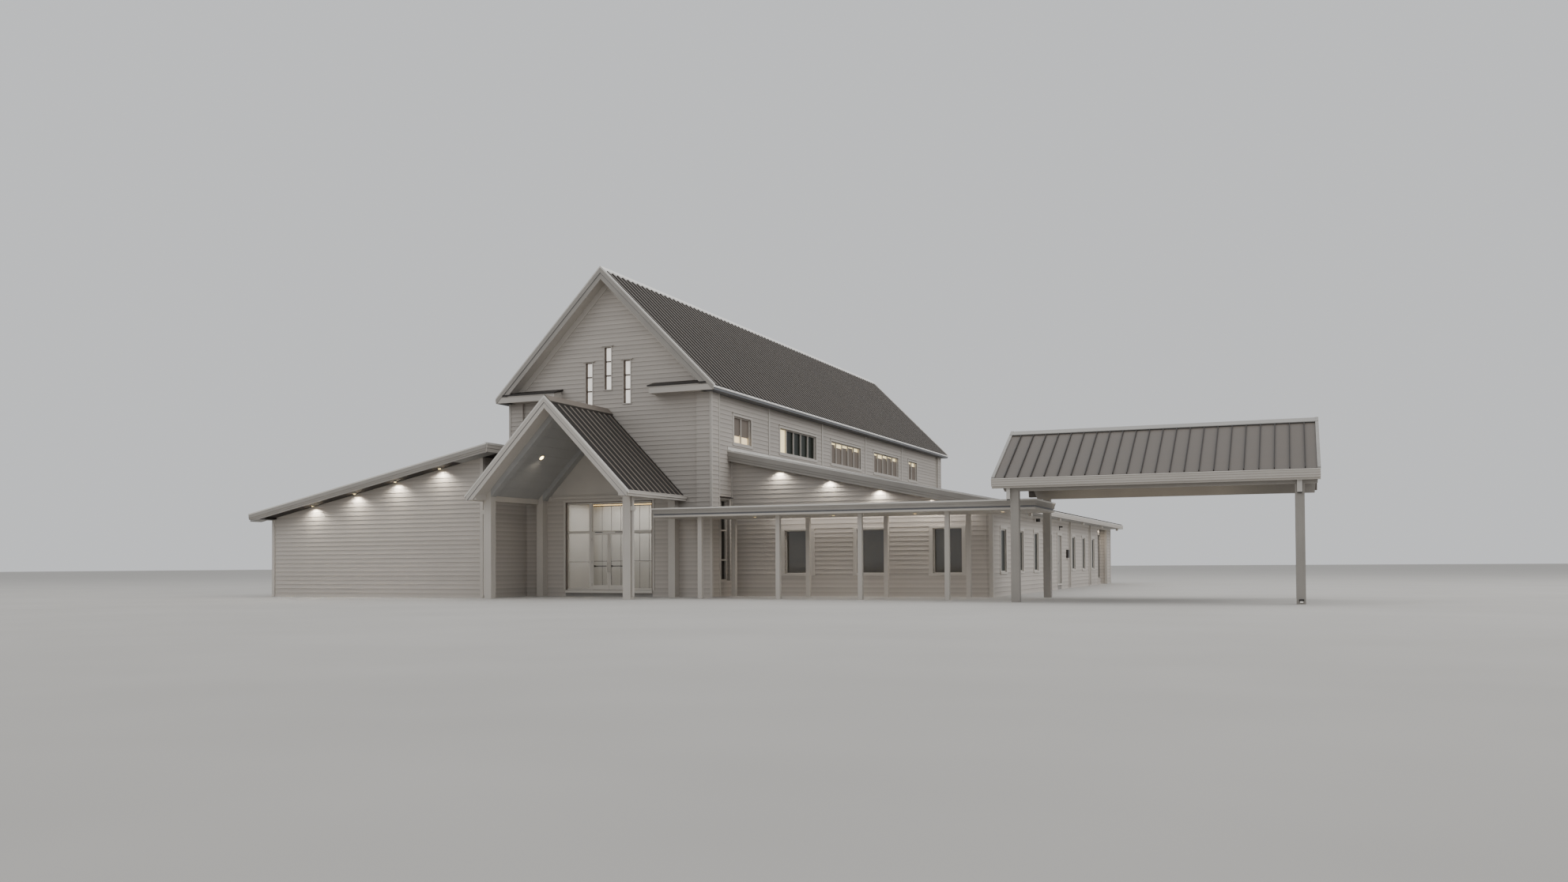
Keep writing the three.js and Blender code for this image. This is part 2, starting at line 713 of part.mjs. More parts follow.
function addRightWing() {
  const inner = RIGHT_WALL_X - WALL;
  const door = SIDE_DOOR;
  const frontHoles = sideWindowHoles(sideWindows(0, 3));
  const sideFront = alongX(rectangle(RIGHT_FRONT, door.y0, 0, WING_SOFFIT), inner, RIGHT_WALL_X, frontHoles);
  place("right_wing_front_wall", "siding", rightFrontWall());
  place("right_wing_side_wall_front", "siding", sideFront);
  place("right_wing_side_wall_back", "siding", rightSideWallBack());
  const over = block(inner, RIGHT_WALL_X, door.y0, door.y1, door.top, WING_SOFFIT);
  place("right_wing_wall_over_door", "siding", over);
  const backSection = rightSection(NAVE_PIER_X, rightUnder(NAVE_PIER_X));
  place("right_wing_back_wall", "siding", alongY(backSection, WING_BACK - WALL, WING_BACK));
  place("right_wing_roof", "roof_metal", rightRoof());
  const windows = RIGHT_FRONT_WINDOWS;
  const reach = RIGHT_FRONT_WINDOW.width / 2 + 30;
  const glassY = RIGHT_FRONT + WALL;
  const frontGlass = block(windows[0] - reach, windows[windows.length - 1] + reach, glassY, glassY + GLASS,
    RIGHT_FRONT_WINDOW.z0 - 30, RIGHT_FRONT_WINDOW.z1 + 30);
  place("right_wing_front_glass", "window_glass", frontGlass);
  place("right_wing_side_glass_front", "window_glass", sideGlass(sideWindows(0, 3), inner - GLASS));
  place("right_wing_side_glass_back", "window_glass", sideGlass(sideWindows(5, 7), inner - GLASS));
  const recessInner = RIGHT_WALL_X - RECESS.depth - WALL;
  const glazed = RECESS_WINDOW;
  const recessGlass = block(recessInner - GLASS, recessInner, glazed.y0 - 30, glazed.y1 + 30,
    glazed.z0 - 30, glazed.z1 + 30);
  place("right_wing_recess_glass", "window_glass", recessGlass);
  const leaf = block(door.face - LEAF_THICK, door.face, door.y0 + DOOR_GAP, door.y1 - DOOR_GAP,
    FLOOR + LEAF_FLOOR_GAP, door.top - DOOR_GAP);
  place("side_door", "door_paint", leaf);
}

// Left wing, which stands forward of the nave
function leftFrontWall() {
  const outer = LEFT_WALL_X + WALL;
  const innerX = LEFT_INNER_WALL_X;
  const front = alongY([
    [outer, 0],
    [innerX, 0],
    [innerX, leftUnder(innerX) - SEAT],
    [outer, leftUnder(outer) - SEAT],
  ], LEFT_FRONT, LEFT_FRONT + WALL);
  const inner = alongY([
    [innerX - WALL, 0],
    [innerX, 0],
    [innerX, leftUnder(innerX) - SEAT],
    [innerX - WALL, leftUnder(innerX - WALL) - SEAT],
  ], LEFT_FRONT + WALL - OVERLAP, PIER_STEP);
  return joined([front, inner], [pierBlock(-1, false)]);
}

function leftRoof() {
  const outer = LEFT_WALL_X + WALL;
  const profile = (high) => [
    [high, leftRoofTop(high)],
    [LEFT_EAVE_X, leftRoofTop(LEFT_EAVE_X)],
    [LEFT_EAVE_X, WING_SOFFIT],
    [outer, WING_SOFFIT],
    [outer, leftUnder(outer)],
    [high, leftUnder(high)],
  ];
  const forward = alongY(profile(LEFT_HIGH_X), LEFT_ROOF_FRONT, PIER_STEP);
  const beside = alongY(profile(-NAVE_WALL_X), 0, WING_ROOF_BACK);
  return joined([forward, beside], [pierBlock(-1, false), pierBlock(-1, true)]);
}

function leftBackWall() {
  const outer = LEFT_WALL_X + WALL;
  return alongY([
    [outer, 0],
    [-NAVE_PIER_X, 0],
    [-NAVE_PIER_X, leftUnder(-NAVE_PIER_X) - SEAT],
    [outer, leftUnder(outer) - SEAT],
  ], WING_BACK - WALL, WING_BACK);
}

function addLeftWing() {
  const centres = sideWindows(0, 7);
  const inner = LEFT_WALL_X + WALL;
  const side = alongX(rectangle(LEFT_FRONT, WING_BACK, 0, WING_SOFFIT), LEFT_WALL_X, inner,
    sideWindowHoles(centres));
  place("left_wing_front_wall", "siding", leftFrontWall());
  place("left_wing_side_wall", "siding", side);
  place("left_wing_back_wall", "siding", leftBackWall());
  place("left_wing_roof", "roof_metal", leftRoof());
  place("left_wing_side_glass", "window_glass", sideGlass(centres, inner));
}

// Walkway canopy: flat roof over two rows of posts, each row under its own beam
function canopyBeam(y) {
  const half = CANOPY_POST / 2;
  const x0 = CANOPY_POST_X[0] - half;
  const x1 = CANOPY_RIGHT - 300;
  return block(x0, x1, y - half, y + half, CANOPY_BOTTOM, CANOPY_BOTTOM + CANOPY_BEAM_DEPTH);
}

function canopyRow(y) {
  const half = CANOPY_POST / 2;
  const posts = CANOPY_POST_X.map((x) => block(x - half, x + half, y - half, y + half, 0, CANOPY_BOTTOM + OVERLAP));
  return joined([canopyBeam(y), ...posts]);
}

function addCanopy() {
  const pierX = NAVE_PIER_X + SEAT;
  const plan = [
    [CANOPY_LEFT, CANOPY_FRONT],
    [CANOPY_RIGHT, CANOPY_FRONT],
    [CANOPY_RIGHT, CANOPY_BACK],
    [pierX, CANOPY_BACK],
    [pierX, -SEAT],
    [CANOPY_LEFT, -SEAT],
  ];
  const beams = [canopyBeam(CANOPY_FRONT_POST_Y), canopyBeam(CANOPY_BACK_POST_Y)];
  place("canopy_roof", "trim", joined([alongZ(plan, CANOPY_BOTTOM, CANOPY_TOP)], beams));
  place("canopy_front_posts", "trim", canopyRow(CANOPY_FRONT_POST_Y));
  place("canopy_back_posts", "trim", canopyRow(CANOPY_BACK_POST_Y));
}

// Carport: gabled roof along X with boarded ends, two beams and four columns
function carportRoof() {
  const out = CARPORT_COLUMN_OUT + CARPORT_COLUMN / 2;
  const inn = CARPORT_COLUMN_OUT - CARPORT_COLUMN / 2;
  const under = CARPORT_RIDGE - CARPORT_ROOF_DROP;
  const ring = mirroredRing([
    [0, CARPORT_RIDGE],
    [CARPORT_HALF, CARPORT_RIDGE - CARPORT_SLOPE * CARPORT_HALF],
    [CARPORT_HALF, CARPORT_FASCIA_BOTTOM],
    [out, CARPORT_FASCIA_BOTTOM],
    [out, CARPORT_BEAM_TOP],
    [inn, CARPORT_BEAM_TOP],
    [inn, under - CARPORT_SLOPE * inn],
    [0, under],
  ]);
  const roof = alongX(shiftedY(ring), CARPORT_LEFT, CARPORT_RIGHT);
  const reach = inn + CARPORT_BOARD_EMBED;
  const boardTop = under + CARPORT_BOARD_EMBED;
  const board = shiftedY(mirrored([
    [reach, CARPORT_BOARD_BOTTOM],
    [reach, boardTop - CARPORT_SLOPE * reach],
    [0, boardTop],
  ]));
  const left = CARPORT_LEFT + CARPORT_GABLE_INSET;
  const right = CARPORT_RIGHT - CARPORT_GABLE_INSET;
  const boards = [
    alongX(board, left, left + CARPORT_GABLE_THICK),
    alongX(board, right - CARPORT_GABLE_THICK, right),
  ];
  return joined([roof, ...boards]);
}

function shiftedY(points) {
  return points.map(([y, z]) => [y + CARPORT_RIDGE_Y, z]);
}

// A beam with cut-back ends on two columns
function carportFrame(y) {
  const half = CARPORT_COLUMN / 2;
  const beam = alongY([
    [CARPORT_BEAM_FOOT_X[0], CARPORT_BEAM_BOTTOM],
    [CARPORT_BEAM_FOOT_X[1], CARPORT_BEAM_BOTTOM],
    [CARPORT_BEAM_X[1], CARPORT_BEAM_TOP],
    [CARPORT_BEAM_X[0], CARPORT_BEAM_TOP],
  ], y - half, y + half);
  const columns = CARPORT_COLUMN_X.map((x) =>
    block(x - half, x + half, y - half, y + half, 0, CARPORT_BEAM_BOTTOM + OVERLAP));
  return joined([beam, ...columns]);
}

function addCarport() {
  place("carport_roof", "carport_metal", carportRoof());
  place("carport_front_frame", "trim", carportFrame(CARPORT_RIDGE_Y - CARPORT_COLUMN_OUT));
  place("carport_back_frame", "trim", carportFrame(CARPORT_RIDGE_Y + CARPORT_COLUMN_OUT));
}

addFloor();
addNave();
addEntrance();
addPorch();
addLeftWing();
addRightWing();
addCanopy();
addCarport();

export default church;
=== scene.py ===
"""Modern church building, 1:2 scale model: cladding, roof sheets, trim, windows, fittings and finishes.

Lengths in the tables are millimetres of the real building; mm() and at() turn them into the model's metres.
"""
import json
import math
from contextlib import contextmanager

import bmesh
import bpy
from mathutils import Matrix, Vector

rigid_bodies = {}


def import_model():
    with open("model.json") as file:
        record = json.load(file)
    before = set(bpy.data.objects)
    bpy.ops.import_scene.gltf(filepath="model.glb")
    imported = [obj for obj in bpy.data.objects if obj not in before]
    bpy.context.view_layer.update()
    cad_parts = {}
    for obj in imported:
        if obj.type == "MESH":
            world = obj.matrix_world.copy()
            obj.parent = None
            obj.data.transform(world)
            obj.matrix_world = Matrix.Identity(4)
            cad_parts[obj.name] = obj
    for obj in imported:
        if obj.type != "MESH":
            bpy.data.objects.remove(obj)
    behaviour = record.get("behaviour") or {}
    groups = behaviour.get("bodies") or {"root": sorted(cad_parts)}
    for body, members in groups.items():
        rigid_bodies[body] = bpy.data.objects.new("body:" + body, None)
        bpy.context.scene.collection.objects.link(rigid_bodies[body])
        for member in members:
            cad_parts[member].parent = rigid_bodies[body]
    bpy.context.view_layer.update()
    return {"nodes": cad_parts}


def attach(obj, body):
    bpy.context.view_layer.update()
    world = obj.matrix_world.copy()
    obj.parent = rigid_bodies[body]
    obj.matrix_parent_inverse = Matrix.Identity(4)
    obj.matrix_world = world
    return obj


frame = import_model()

bl_info = {
    "name": "Modern Church Building",
    "version": (1, 0, 0),
    "blender": (4, 5, 0),
    "location": "3D View > Sidebar > Church",
    "description": "Dresses the modern church building with cladding, roof sheets, trim, windows and lamps",
    "category": "Object",
}

# Scale of the model and its origin along the building
MODEL_SCALE = 0.5
ORIGIN_Y = 16700

# Levels and lines of the real building, as in the part's source
FLOOR = 260
WALL = 200
NAVE_WALL_X = 4600
NAVE_PIER_X = 4700
PIER_DEPTH = 710
WALL_FRONT_Y = 100
NAVE_LENGTH = 33400
NAVE_OVERHANG = 470
EAVE_X = 5050
EAVE_BOTTOM = 8050
EAVE_TOP = 8190
RIDGE = 13240
NAVE_UNDER = 12860
RETURN_INNER_X = 2225
RETURN_TOP = 8330
RETURN_WALL_TOP = 8430
BAY_LINES = (5860, 12320, 18780, 25240)
CLERESTORY = (6230, 7330)
CLERESTORY_WINDOWS = ((3110, 1700, 2), (9310, 4400, 5), (15800, 4400, 5), (22400, 4400, 5), (27490, 1700, 2))
TALL_WINDOW = (770, 1780, 620, 3860)
GABLE_WINDOWS = ((-890, 7800, 9540), (0, 8400, 10130), (890, 7800, 9540))
GABLE_WINDOW_WIDTH = 310
ENTRANCE_HALF = 2030
ENTRANCE_TOP = 3850
DOORWAY_HALF = 815
FRAME_FRONT = 130
TRANSOM = (2590, 2650)
SIDELIGHT = (930, 1970)
DOOR_GAP = 12
HINGE_LEVELS = (480, 1400, 2320)
HINGE_RADIUS = 5.5
PORCH_FRONT = -4480
PORCH_HALF = 3520
PORCH_RIDGE = 7500
PORCH_EAVE_TOP = 3890
PORCH_EAVE_BOTTOM = 3790
PORCH_INNER_X = 3120
PORCH_DROP = 300
PORCH_RIB_DROP = 570
PORCH_COLUMN_X = 3065
PORCH_COLUMN_Y = -3620
PORCH_SLOPE = (PORCH_RIDGE - PORCH_EAVE_TOP) / PORCH_HALF
WING_SLOPE = 0.205
WING_DROP = 300
WING_SOFFIT = 3300
WING_BACK = 33300
WING_ROOF_BACK = 33930
RIGHT_FRONT = 2000
RIGHT_WALL_X = 15300
RIGHT_EAVE_X = 15960
RIGHT_HIGH_Z = 5830
RIGHT_ROOF_FRONT = 1690
RIGHT_FRONT_WINDOWS = (7510, 10550, 13590)
RIGHT_FRONT_WINDOW = (560, 895, 2600)
LEFT_FRONT = -2890
LEFT_WALL_X = -14850
LEFT_INNER_WALL_X = -3950
LEFT_EAVE_X = -15515
LEFT_HIGH_X = -3287
LEFT_HIGH_Z = 6010
LEFT_ROOF_FRONT = -3520
SIDE_WINDOW_FIRST = 3820
SIDE_WINDOW_STEP = 3220
SIDE_WINDOW = (460, 920, 2570)
SIDE_DOOR = (15390, 16410, 2560, 15280)
RECESS = (28200, 31690, 350)
RECESS_WINDOW = (28700, 31590, 360, 2900)
CANOPY_X = (3300, 17680)
CANOPY_Y = (-2100, 1345)
CANOPY_Z = (3070, 3390)
CANOPY_POST_X = (5080, 8250, 11420, 14590)
CANOPY_POST_Y = (-1730, 1260)
CARPORT_X = (16640, 26360)
CARPORT_RIDGE_Y = -645
CARPORT_RIDGE = 5800
CARPORT_SLOPE = 0.583
CARPORT_HALF = 3055
CARPORT_FASCIA_BOTTOM = 3690
CARPORT_COLUMN_X = (17316, 25815)
CARPORT_COLUMN_OUT = 2755
CARPORT_COLUMN = 256
CARPORT_SEAM_PITCH = 426


def mm(length):
    """A real length in millimetres, as metres of the model."""
    return length * MODEL_SCALE / 1000


def at(x, y, z):
    """A real place in millimetres, as metres of the model."""
    return Vector((mm(x), mm(y - ORIGIN_Y), mm(z)))


def along(x, y, z):
    """A real step in millimetres, as metres of the model."""
    return Vector((mm(x), mm(y), mm(z)))


def linear(hex_colour):
    """An sRGB hex colour as linear light."""
    channels = [int(hex_colour[i:i + 2], 16) / 255 for i in (1, 3, 5)]
    return tuple(c / 12.92 if c <= 0.04045 else ((c + 0.055) / 1.055) ** 2.4 for c in channels)


def right_roof(x):
    return RIGHT_HIGH_Z - WING_SLOPE * (x - NAVE_WALL_X)


def left_roof(x):
    return LEFT_HIGH_Z - WING_SLOPE * (LEFT_HIGH_X - x)


# ---- sizes and colours a user would change


def length_prop(name, description, real):
    return bpy.props.FloatProperty(name=name, description=description, default=mm(real), min=0.0, unit="LENGTH")


def colour_prop(name, description, hex_colour):
    return bpy.props.FloatVectorProperty(name=name, description=description, default=linear(hex_colour),
                                         min=0.0, max=1.0, size=3, subtype="COLOR")


class ChurchCladding(bpy.types.PropertyGroup):
    """Sizes of the lap siding and of the boards round it"""
    exposure: length_prop("Exposure", "Height of one siding board that shows", 178)
    thin: length_prop("Upper edge", "Thickness of a siding board at its upper edge", 5)
    lap: length_prop("Lap", "How far the lower edge of a board stands out past its upper edge", 15)
    casing: length_prop("Casing", "Width of the boards round a window", 115)
    corner: length_prop("Corner board", "Width of the boards on a corner", 110)
    proud: length_prop("Trim thickness", "How far trim boards stand out from the wall", 34)
    arris: length_prop("Arris", "Width of the small bevel on trim boards", 4)


class ChurchRoofing(bpy.types.PropertyGroup):
    """Sizes of the roof sheets"""
    pitch: length_prop("Rib pitch", "Distance from rib to rib", 406.4)
    rib_base: length_prop("Rib base", "Width of a rib where it meets the sheet", 150)
    rib_top: length_prop("Rib top", "Width of a rib at its top", 96)
    rib_height: length_prop("Rib height", "Height of a rib over the sheet", 56)
    seam_width: length_prop("Seam width", "Width of a standing seam of the carport", 26)
    seam_height: length_prop("Seam height", "Height of a standing seam of the carport", 50)


class ChurchColours(bpy.types.PropertyGroup):
    """Colours of the finishes"""
    siding: colour_prop("Siding", "Paint of the lap siding", "#b9b2aa")
    trim: colour_prop("Trim", "Paint of trim boards, posts and fascias", "#bcb6ae")
    roof: colour_prop("Roof", "Coated steel of the nave, porch and wing roofs", "#231d19")
    # Ribs: drawn paler than the pans as painted highlight on the rib tops.
    ribs: colour_prop("Ribs", "Coated steel of the ribs and caps, worn paler than the pans", "#766d64")
    edges: colour_prop("Edges", "Coated steel of rake and edge strips", "#d3cfc8")
    bright: colour_prop("Nave edges", "Coated steel of the nave's ridge cap and drip strips", "#f2efea")
    soffit: colour_prop("Soffits", "Boards under the eaves and on the porch ceiling", "#a4a3a1")
    carport: colour_prop("Carport roof", "Coated steel of the carport roof", "#5a524a")
    frames: colour_prop("Frames", "Coated aluminium of the entrance frames", "#c9c3ba")
    door: colour_prop("Door", "Enamel of the side door", "#8f8a82")
    glass: colour_prop("Glass", "Tint of the window glass", "#e2e2de")
    floor: colour_prop("Floor", "Concrete of the floor slab", "#8f8b86")


class ChurchLamps(bpy.types.PropertyGroup):
    """Strength of the lamps"""
    wash: bpy.props.FloatProperty(name="Soffit lamps", description="Power of a soffit lamp over a wall",
                                  default=26.0, min=0.0, unit="POWER")
    lobby: bpy.props.FloatProperty(name="Lobby", description="Power of the light behind the entrance",
                                   default=20.0, min=0.0, unit="POWER")
    canopy: bpy.props.FloatProperty(name="Canopy lamps", description="Power of a lamp under the walkway canopy",
                                    default=7.0, min=0.0, unit="POWER")


def group(name):
    return getattr(bpy.context.scene, name)


# ---- modelling by hand: small steps shared by the operators


def start(name):
    """Opens a new, still empty piece in edit mode."""
    bpy.ops.object.select_all(action="DESELECT")
    bpy.ops.object.add(type="MESH", location=(0, 0, 0))
    made = bpy.context.object
    made.name = name
    made.data.name = name
    bpy.ops.object.mode_set(mode="EDIT")
    return made


def block(x, y, z):
    """Adds a block between two real places; each of x, y and z is a pair."""
    lo = at(min(x), min(y), min(z))
    hi = at(max(x), max(y), max(z))
    bpy.ops.mesh.primitive_cube_add(size=1, location=(lo + hi) / 2, scale=hi - lo)


def prism(corners, reach):
    """Draws an outline corner by corner, fills it and extrudes it by a real step."""
    places = [at(*corner) for corner in corners]
    bpy.ops.mesh.primitive_plane_add(size=0.001, location=places[0])
    bpy.ops.mesh.merge(type="CENTER")
    for a, b in zip(places, places[1:] + places[:1]):
        bpy.ops.mesh.extrude_region_move(TRANSFORM_OT_translate={"value": b - a})
    bpy.ops.mesh.select_linked()
    bpy.ops.mesh.remove_doubles(threshold=1e-6)
    bpy.ops.mesh.edge_face_add()
    bpy.ops.mesh.extrude_region_move(TRANSFORM_OT_translate={"value": along(*reach)})
    bpy.ops.mesh.select_linked()


def prism_y(outline, y0, y1):
    """A bar along the building from its outline in x and z."""
    prism([(x, y0, z) for x, z in outline], (0, y1 - y0, 0))


def prism_x(outline, x0, x1):
    """A bar across the building from its outline in y and z."""
    prism([(x0, y, z) for y, z in outline], (x1 - x0, 0, 0))


def mitre(place, way, **sides):
    """Cuts the selected bar where it meets the next one, square to the mean of their ways."""
    bpy.ops.mesh.bisect(plane_co=at(place.x, place.y, 0), plane_no=(way.x, way.y, 0), use_fill=True, **sides)
    bpy.ops.mesh.select_linked()


def moulding(profile, corners):
    """A moulding swept along a path in plan, mitred at its corners; its outer side is right of the path.

    The profile is a closed outline of pairs: how far out of the path, and the height.
    """
    reach = 400
    ways = [(Vector(b) - Vector(a)).normalized() for a, b in zip(corners, corners[1:])]
    for index, way in enumerate(ways):
        a, b = Vector(corners[index]), Vector(corners[index + 1])
        before = reach if index else 0
        after = reach if index + 1 < len(ways) else 0
        out = Vector((way.y, -way.x))
        first = a - way * before
        step = way * ((b - a).length + before + after)
        prism([(first.x + out.x * u, first.y + out.y * u, z) for u, z in profile], (step.x, step.y, 0))
        if before:
            mitre(a, ways[index - 1] + way, clear_inner=True)
        if after:
            mitre(b, way + ways[index + 1], clear_outer=True)


def rod(place, radius, length, axis="Z", sides=20):
    """Adds a round bar centred on a real place, along an axis or turned by three angles."""
    turn = {"X": (0, math.pi / 2, 0), "Y": (math.pi / 2, 0, 0), "Z": (0, 0, 0)}.get(axis, axis)
    bpy.ops.mesh.primitive_cylinder_add(vertices=sides, radius=mm(radius), depth=mm(length),
                                        location=at(*place), rotation=turn)


def soften(width):
    """Takes the arrises off everything in the open piece."""
    bpy.ops.mesh.select_all(action="SELECT")
    bpy.ops.mesh.bevel(offset=group("church_cladding").arris if width is None else mm(width),
                       segments=1, affect="EDGES", clamp_overlap=True)


def complete(made, finish, body="root", smooth=False):
    """Closes the open piece, gives it its finish and rides it on its body."""
    bpy.ops.mesh.select_all(action="SELECT")
    bpy.ops.mesh.normals_make_consistent(inside=False)
    bpy.ops.object.mode_set(mode="OBJECT")
    if smooth:
        bpy.ops.object.shade_smooth_by_angle(angle=math.radians(35))
    made.data.materials.clear()
    made.data.materials.append(material(finish))
    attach(made, body)


@contextmanager
def piece(name, finish, arris=0, body="root", smooth=False):
    """A new piece: what the with block adds, with its arrises taken off, its finish and its body.

    The arris is a real width; None is the width that the panel sets and 0 leaves the edges sharp.
    """
    made = start(name)
    yield made
    if arris != 0:
        soften(arris)
    complete(made, finish, body, smooth)


def choose(made, kind, test):
    """Selects the faces or edges of the open piece that pass a test."""
    bpy.ops.mesh.select_mode(type={"faces": "FACE", "edges": "EDGE"}[kind])
    bpy.ops.mesh.select_all(action="DESELECT")
    mesh = bmesh.from_edit_mesh(made.data)
    for part in getattr(mesh, kind):
        part.select = test(part)
    bmesh.update_edit_mesh(made.data)


def repeat(made, step, count):
    """Repeats a piece along a real step with an array modifier."""
    bpy.ops.object.mode_set(mode="OBJECT")
    bpy.ops.object.modifier_add(type="ARRAY")
    array = made.modifiers[-1]
    array.use_relative_offset = False
    array.use_constant_offset = True
    array.constant_offset_displace = along(*step)
    array.count = count
    bpy.ops.object.modifier_apply(modifier=array.name)
    bpy.ops.object.mode_set(mode="EDIT")


# ---- finishes

# The node slots, each with its plain finish first
SLOT_FINISHES = {
    "siding": ("lap_siding",),
    "trim": ("trim_paint", "soffit_boards", "weathered_trim", "grey_soffit", "roof_edge_steel", "bright_edge_steel",
             "lobby_panels"),
    "roof_metal": ("coated_roof_steel", "rib_steel"),
    "carport_metal": ("carport_roof_steel", "dull_edge_steel"),
    "frame_metal": ("coated_aluminium", "dark_bronze", "tan_liner"),
    "window_glass": ("clear_glazing", "dark_glazing", "night_glazing", "grey_shade_fabric", "lit_shade_fabric",
                     "lit_blind", "warm_curtain", "cream_blind", "cove_lamp", "lamp_lens"),
    "floor_concrete": ("floor_slab_concrete",),
    "door_paint": ("door_enamel",),
}


def add_node(tree, kind, inputs=None, **settings):
    """Adds a node with its settings; an input is a value or the socket that feeds it."""
    made = tree.nodes.new(kind)
    for key, value in settings.items():
        setattr(made, key, value)
    for socket, value in (inputs or {}).items():
        if isinstance(value, bpy.types.NodeSocket):
            tree.links.new(value, made.inputs[socket])
        else:
            made.inputs[socket].default_value = value
    return made


def tones(tree, factor, dark, light, low=0.3, high=0.7):
    """A colour ramp between two tones."""
    ramp = add_node(tree, "ShaderNodeValToRGB", {"Fac": factor})
    ramp.color_ramp.elements[0].position = low
    ramp.color_ramp.elements[1].position = high
    ramp.color_ramp.elements[0].color = (*dark, 1)
    ramp.color_ramp.elements[1].color = (*light, 1)
    return ramp.outputs["Color"]


def scaled(colour, factor):
    return tuple(min(1.0, c * factor) for c in colour)


def open_material(name):
    made = bpy.data.materials.new(name)
    made.use_nodes = True
    tree = made.node_tree
    shader = tree.nodes["Principled BSDF"]
    place = add_node(tree, "ShaderNodeTexCoord").outputs["Object"]
    return tree, shader, place


def noise(tree, place, size, detail=3.0, stretch=(1, 1, 1), seed=0.0):
    """Noise whose blotches are about one real size in millimetres."""
    mapping = add_node(tree, "ShaderNodeMapping", {"Vector": place, "Scale": stretch,
                                                    "Location": (seed, seed * 0.7, seed * 0.3)})
    return add_node(tree, "ShaderNodeTexNoise", {"Vector": mapping.outputs["Vector"], "Scale": 1 / mm(size),
                                                 "Detail": detail, "Roughness": 0.55})


def bump_from(tree, shader, height, depth, strength=0.6):
    bump = add_node(tree, "ShaderNodeBump", {"Height": height, "Strength": strength, "Distance": mm(depth)})
    tree.links.new(bump.outputs["Normal"], shader.inputs["Normal"])


def link_roughness(tree, shader, factor, low, high):
    """Roughness between two values."""
    rough = add_node(tree, "ShaderNodeMapRange", {"Value": factor, "To Min": low, "To Max": high})
    tree.links.new(rough.outputs["Result"], shader.inputs["Roughness"])


def link_shaded(tree, shader, tint, shade):
    """Base colour of a tint times a shade."""
    shaded = add_node(tree, "ShaderNodeMix", data_type="RGBA", blend_type="MULTIPLY")
    shaded.inputs["Factor"].default_value = 1.0
    tree.links.new(tint, shaded.inputs[6])
    tree.links.new(shade, shaded.inputs[7])
    tree.links.new(shaded.outputs[2], shader.inputs["Base Color"])


def painted(name, colour, roughness, blotch, grain, depth, spread, stretch=(1, 1, 1)):
    """Paint with slow weathering blotches and a fine grain; lengths are real millimetres."""
    tree, shader, place = open_material(name)
    slow = noise(tree, place, blotch, 4.0, stretch)
    fine = noise(tree, place, grain, 2.0, stretch, seed=3.1)
    tint = tones(tree, slow.outputs["Fac"], scaled(colour, 1 - spread), scaled(colour, 1 + spread))
    tree.links.new(tint, shader.inputs["Base Color"])
    link_roughness(tree, shader, fine.outputs["Fac"], roughness - 0.06, roughness + 0.08)
    bump_from(tree, shader, fine.outputs["Fac"], depth)
    return shader


def lap_boards(name, colour):
    """Each board's tone differs a little at random, with painted shade under each lap and faint embossed grain."""
    tree, shader, place = open_material(name)
    exposure = group("church_cladding").exposure
    axes = add_node(tree, "ShaderNodeSeparateXYZ", {"Vector": place})
    course = add_node(tree, "ShaderNodeMath", {0: axes.outputs["Z"], 1: exposure}, operation="DIVIDE")
    board = add_node(tree, "ShaderNodeMath", {0: course.outputs[0]}, operation="FLOOR")
    chance = add_node(tree, "ShaderNodeTexWhiteNoise", {"W": board.outputs[0]}, noise_dimensions="1D")
    slow = noise(tree, place, 2600, 4.0)
    sum_up = add_node(tree, "ShaderNodeMath", {0: chance.outputs["Value"], 1: 0.45, 2: slow.outputs["Fac"]},
                      operation="MULTIPLY_ADD")
    tint = tones(tree, sum_up.outputs[0], scaled(colour, 0.93), scaled(colour, 1.05), 0.35, 1.1)
    # Painted shade under the lap of the board above: each board darkens towards its upper edge.
    height = add_node(tree, "ShaderNodeMath", {0: course.outputs[0]}, operation="FRACT")
    link_shaded(tree, shader, tint, tones(tree, height.outputs[0], (1.0, 1.0, 1.0), (0.84, 0.835, 0.83), 0.25, 0.97))
    # Embossed grain is about 2 mm wide; it is drawn 12 mm wide here, so that it shows in the render.
    grain = noise(tree, place, 12, 2.0, (0.08, 0.08, 1.0), seed=1.7)
    link_roughness(tree, shader, grain.outputs["Fac"], 0.62, 0.8)
    bump_from(tree, shader, grain.outputs["Fac"], 1.5, 0.4)


def sheet_steel(name, colour, roughness):
    """Coated steel sheet: a dull sheen with faint waves in the flats and streaks where rain runs."""
    tree, shader, place = open_material(name)
    streaks = noise(tree, place, 900, 5.0, (0.25, 1.6, 0.25), seed=5.0)
    tint = tones(tree, streaks.outputs["Fac"], scaled(colour, 0.9), scaled(colour, 1.08))
    tree.links.new(tint, shader.inputs["Base Color"])
    waves = noise(tree, place, 700, 1.0, seed=2.0)
    link_roughness(tree, shader, streaks.outputs["Fac"], roughness - 0.05, roughness + 0.1)
    bump_from(tree, shader, waves.outputs["Fac"], 6, 0.35)
    return tree, shader, tint


def ribs_with_painted_light(name, colour, roughness):
    """Pale tops as painted highlight, over flanks darkened to painted shade as dark as the pans."""
    tree, shader, top = sheet_steel(name, colour, roughness)
    facing = add_node(tree, "ShaderNodeTexCoord")
    axes = add_node(tree, "ShaderNodeSeparateXYZ", {"Vector": facing.outputs["Normal"]})
    # Painted shade: faces that lean away from the sky, such as the rib flanks, are darkened to about a fifth of the
    # tone.
    link_shaded(tree, shader, top, tones(tree, axes.outputs["Z"], (0.22, 0.22, 0.22), (1.0, 1.0, 1.0), 0.54, 0.62))


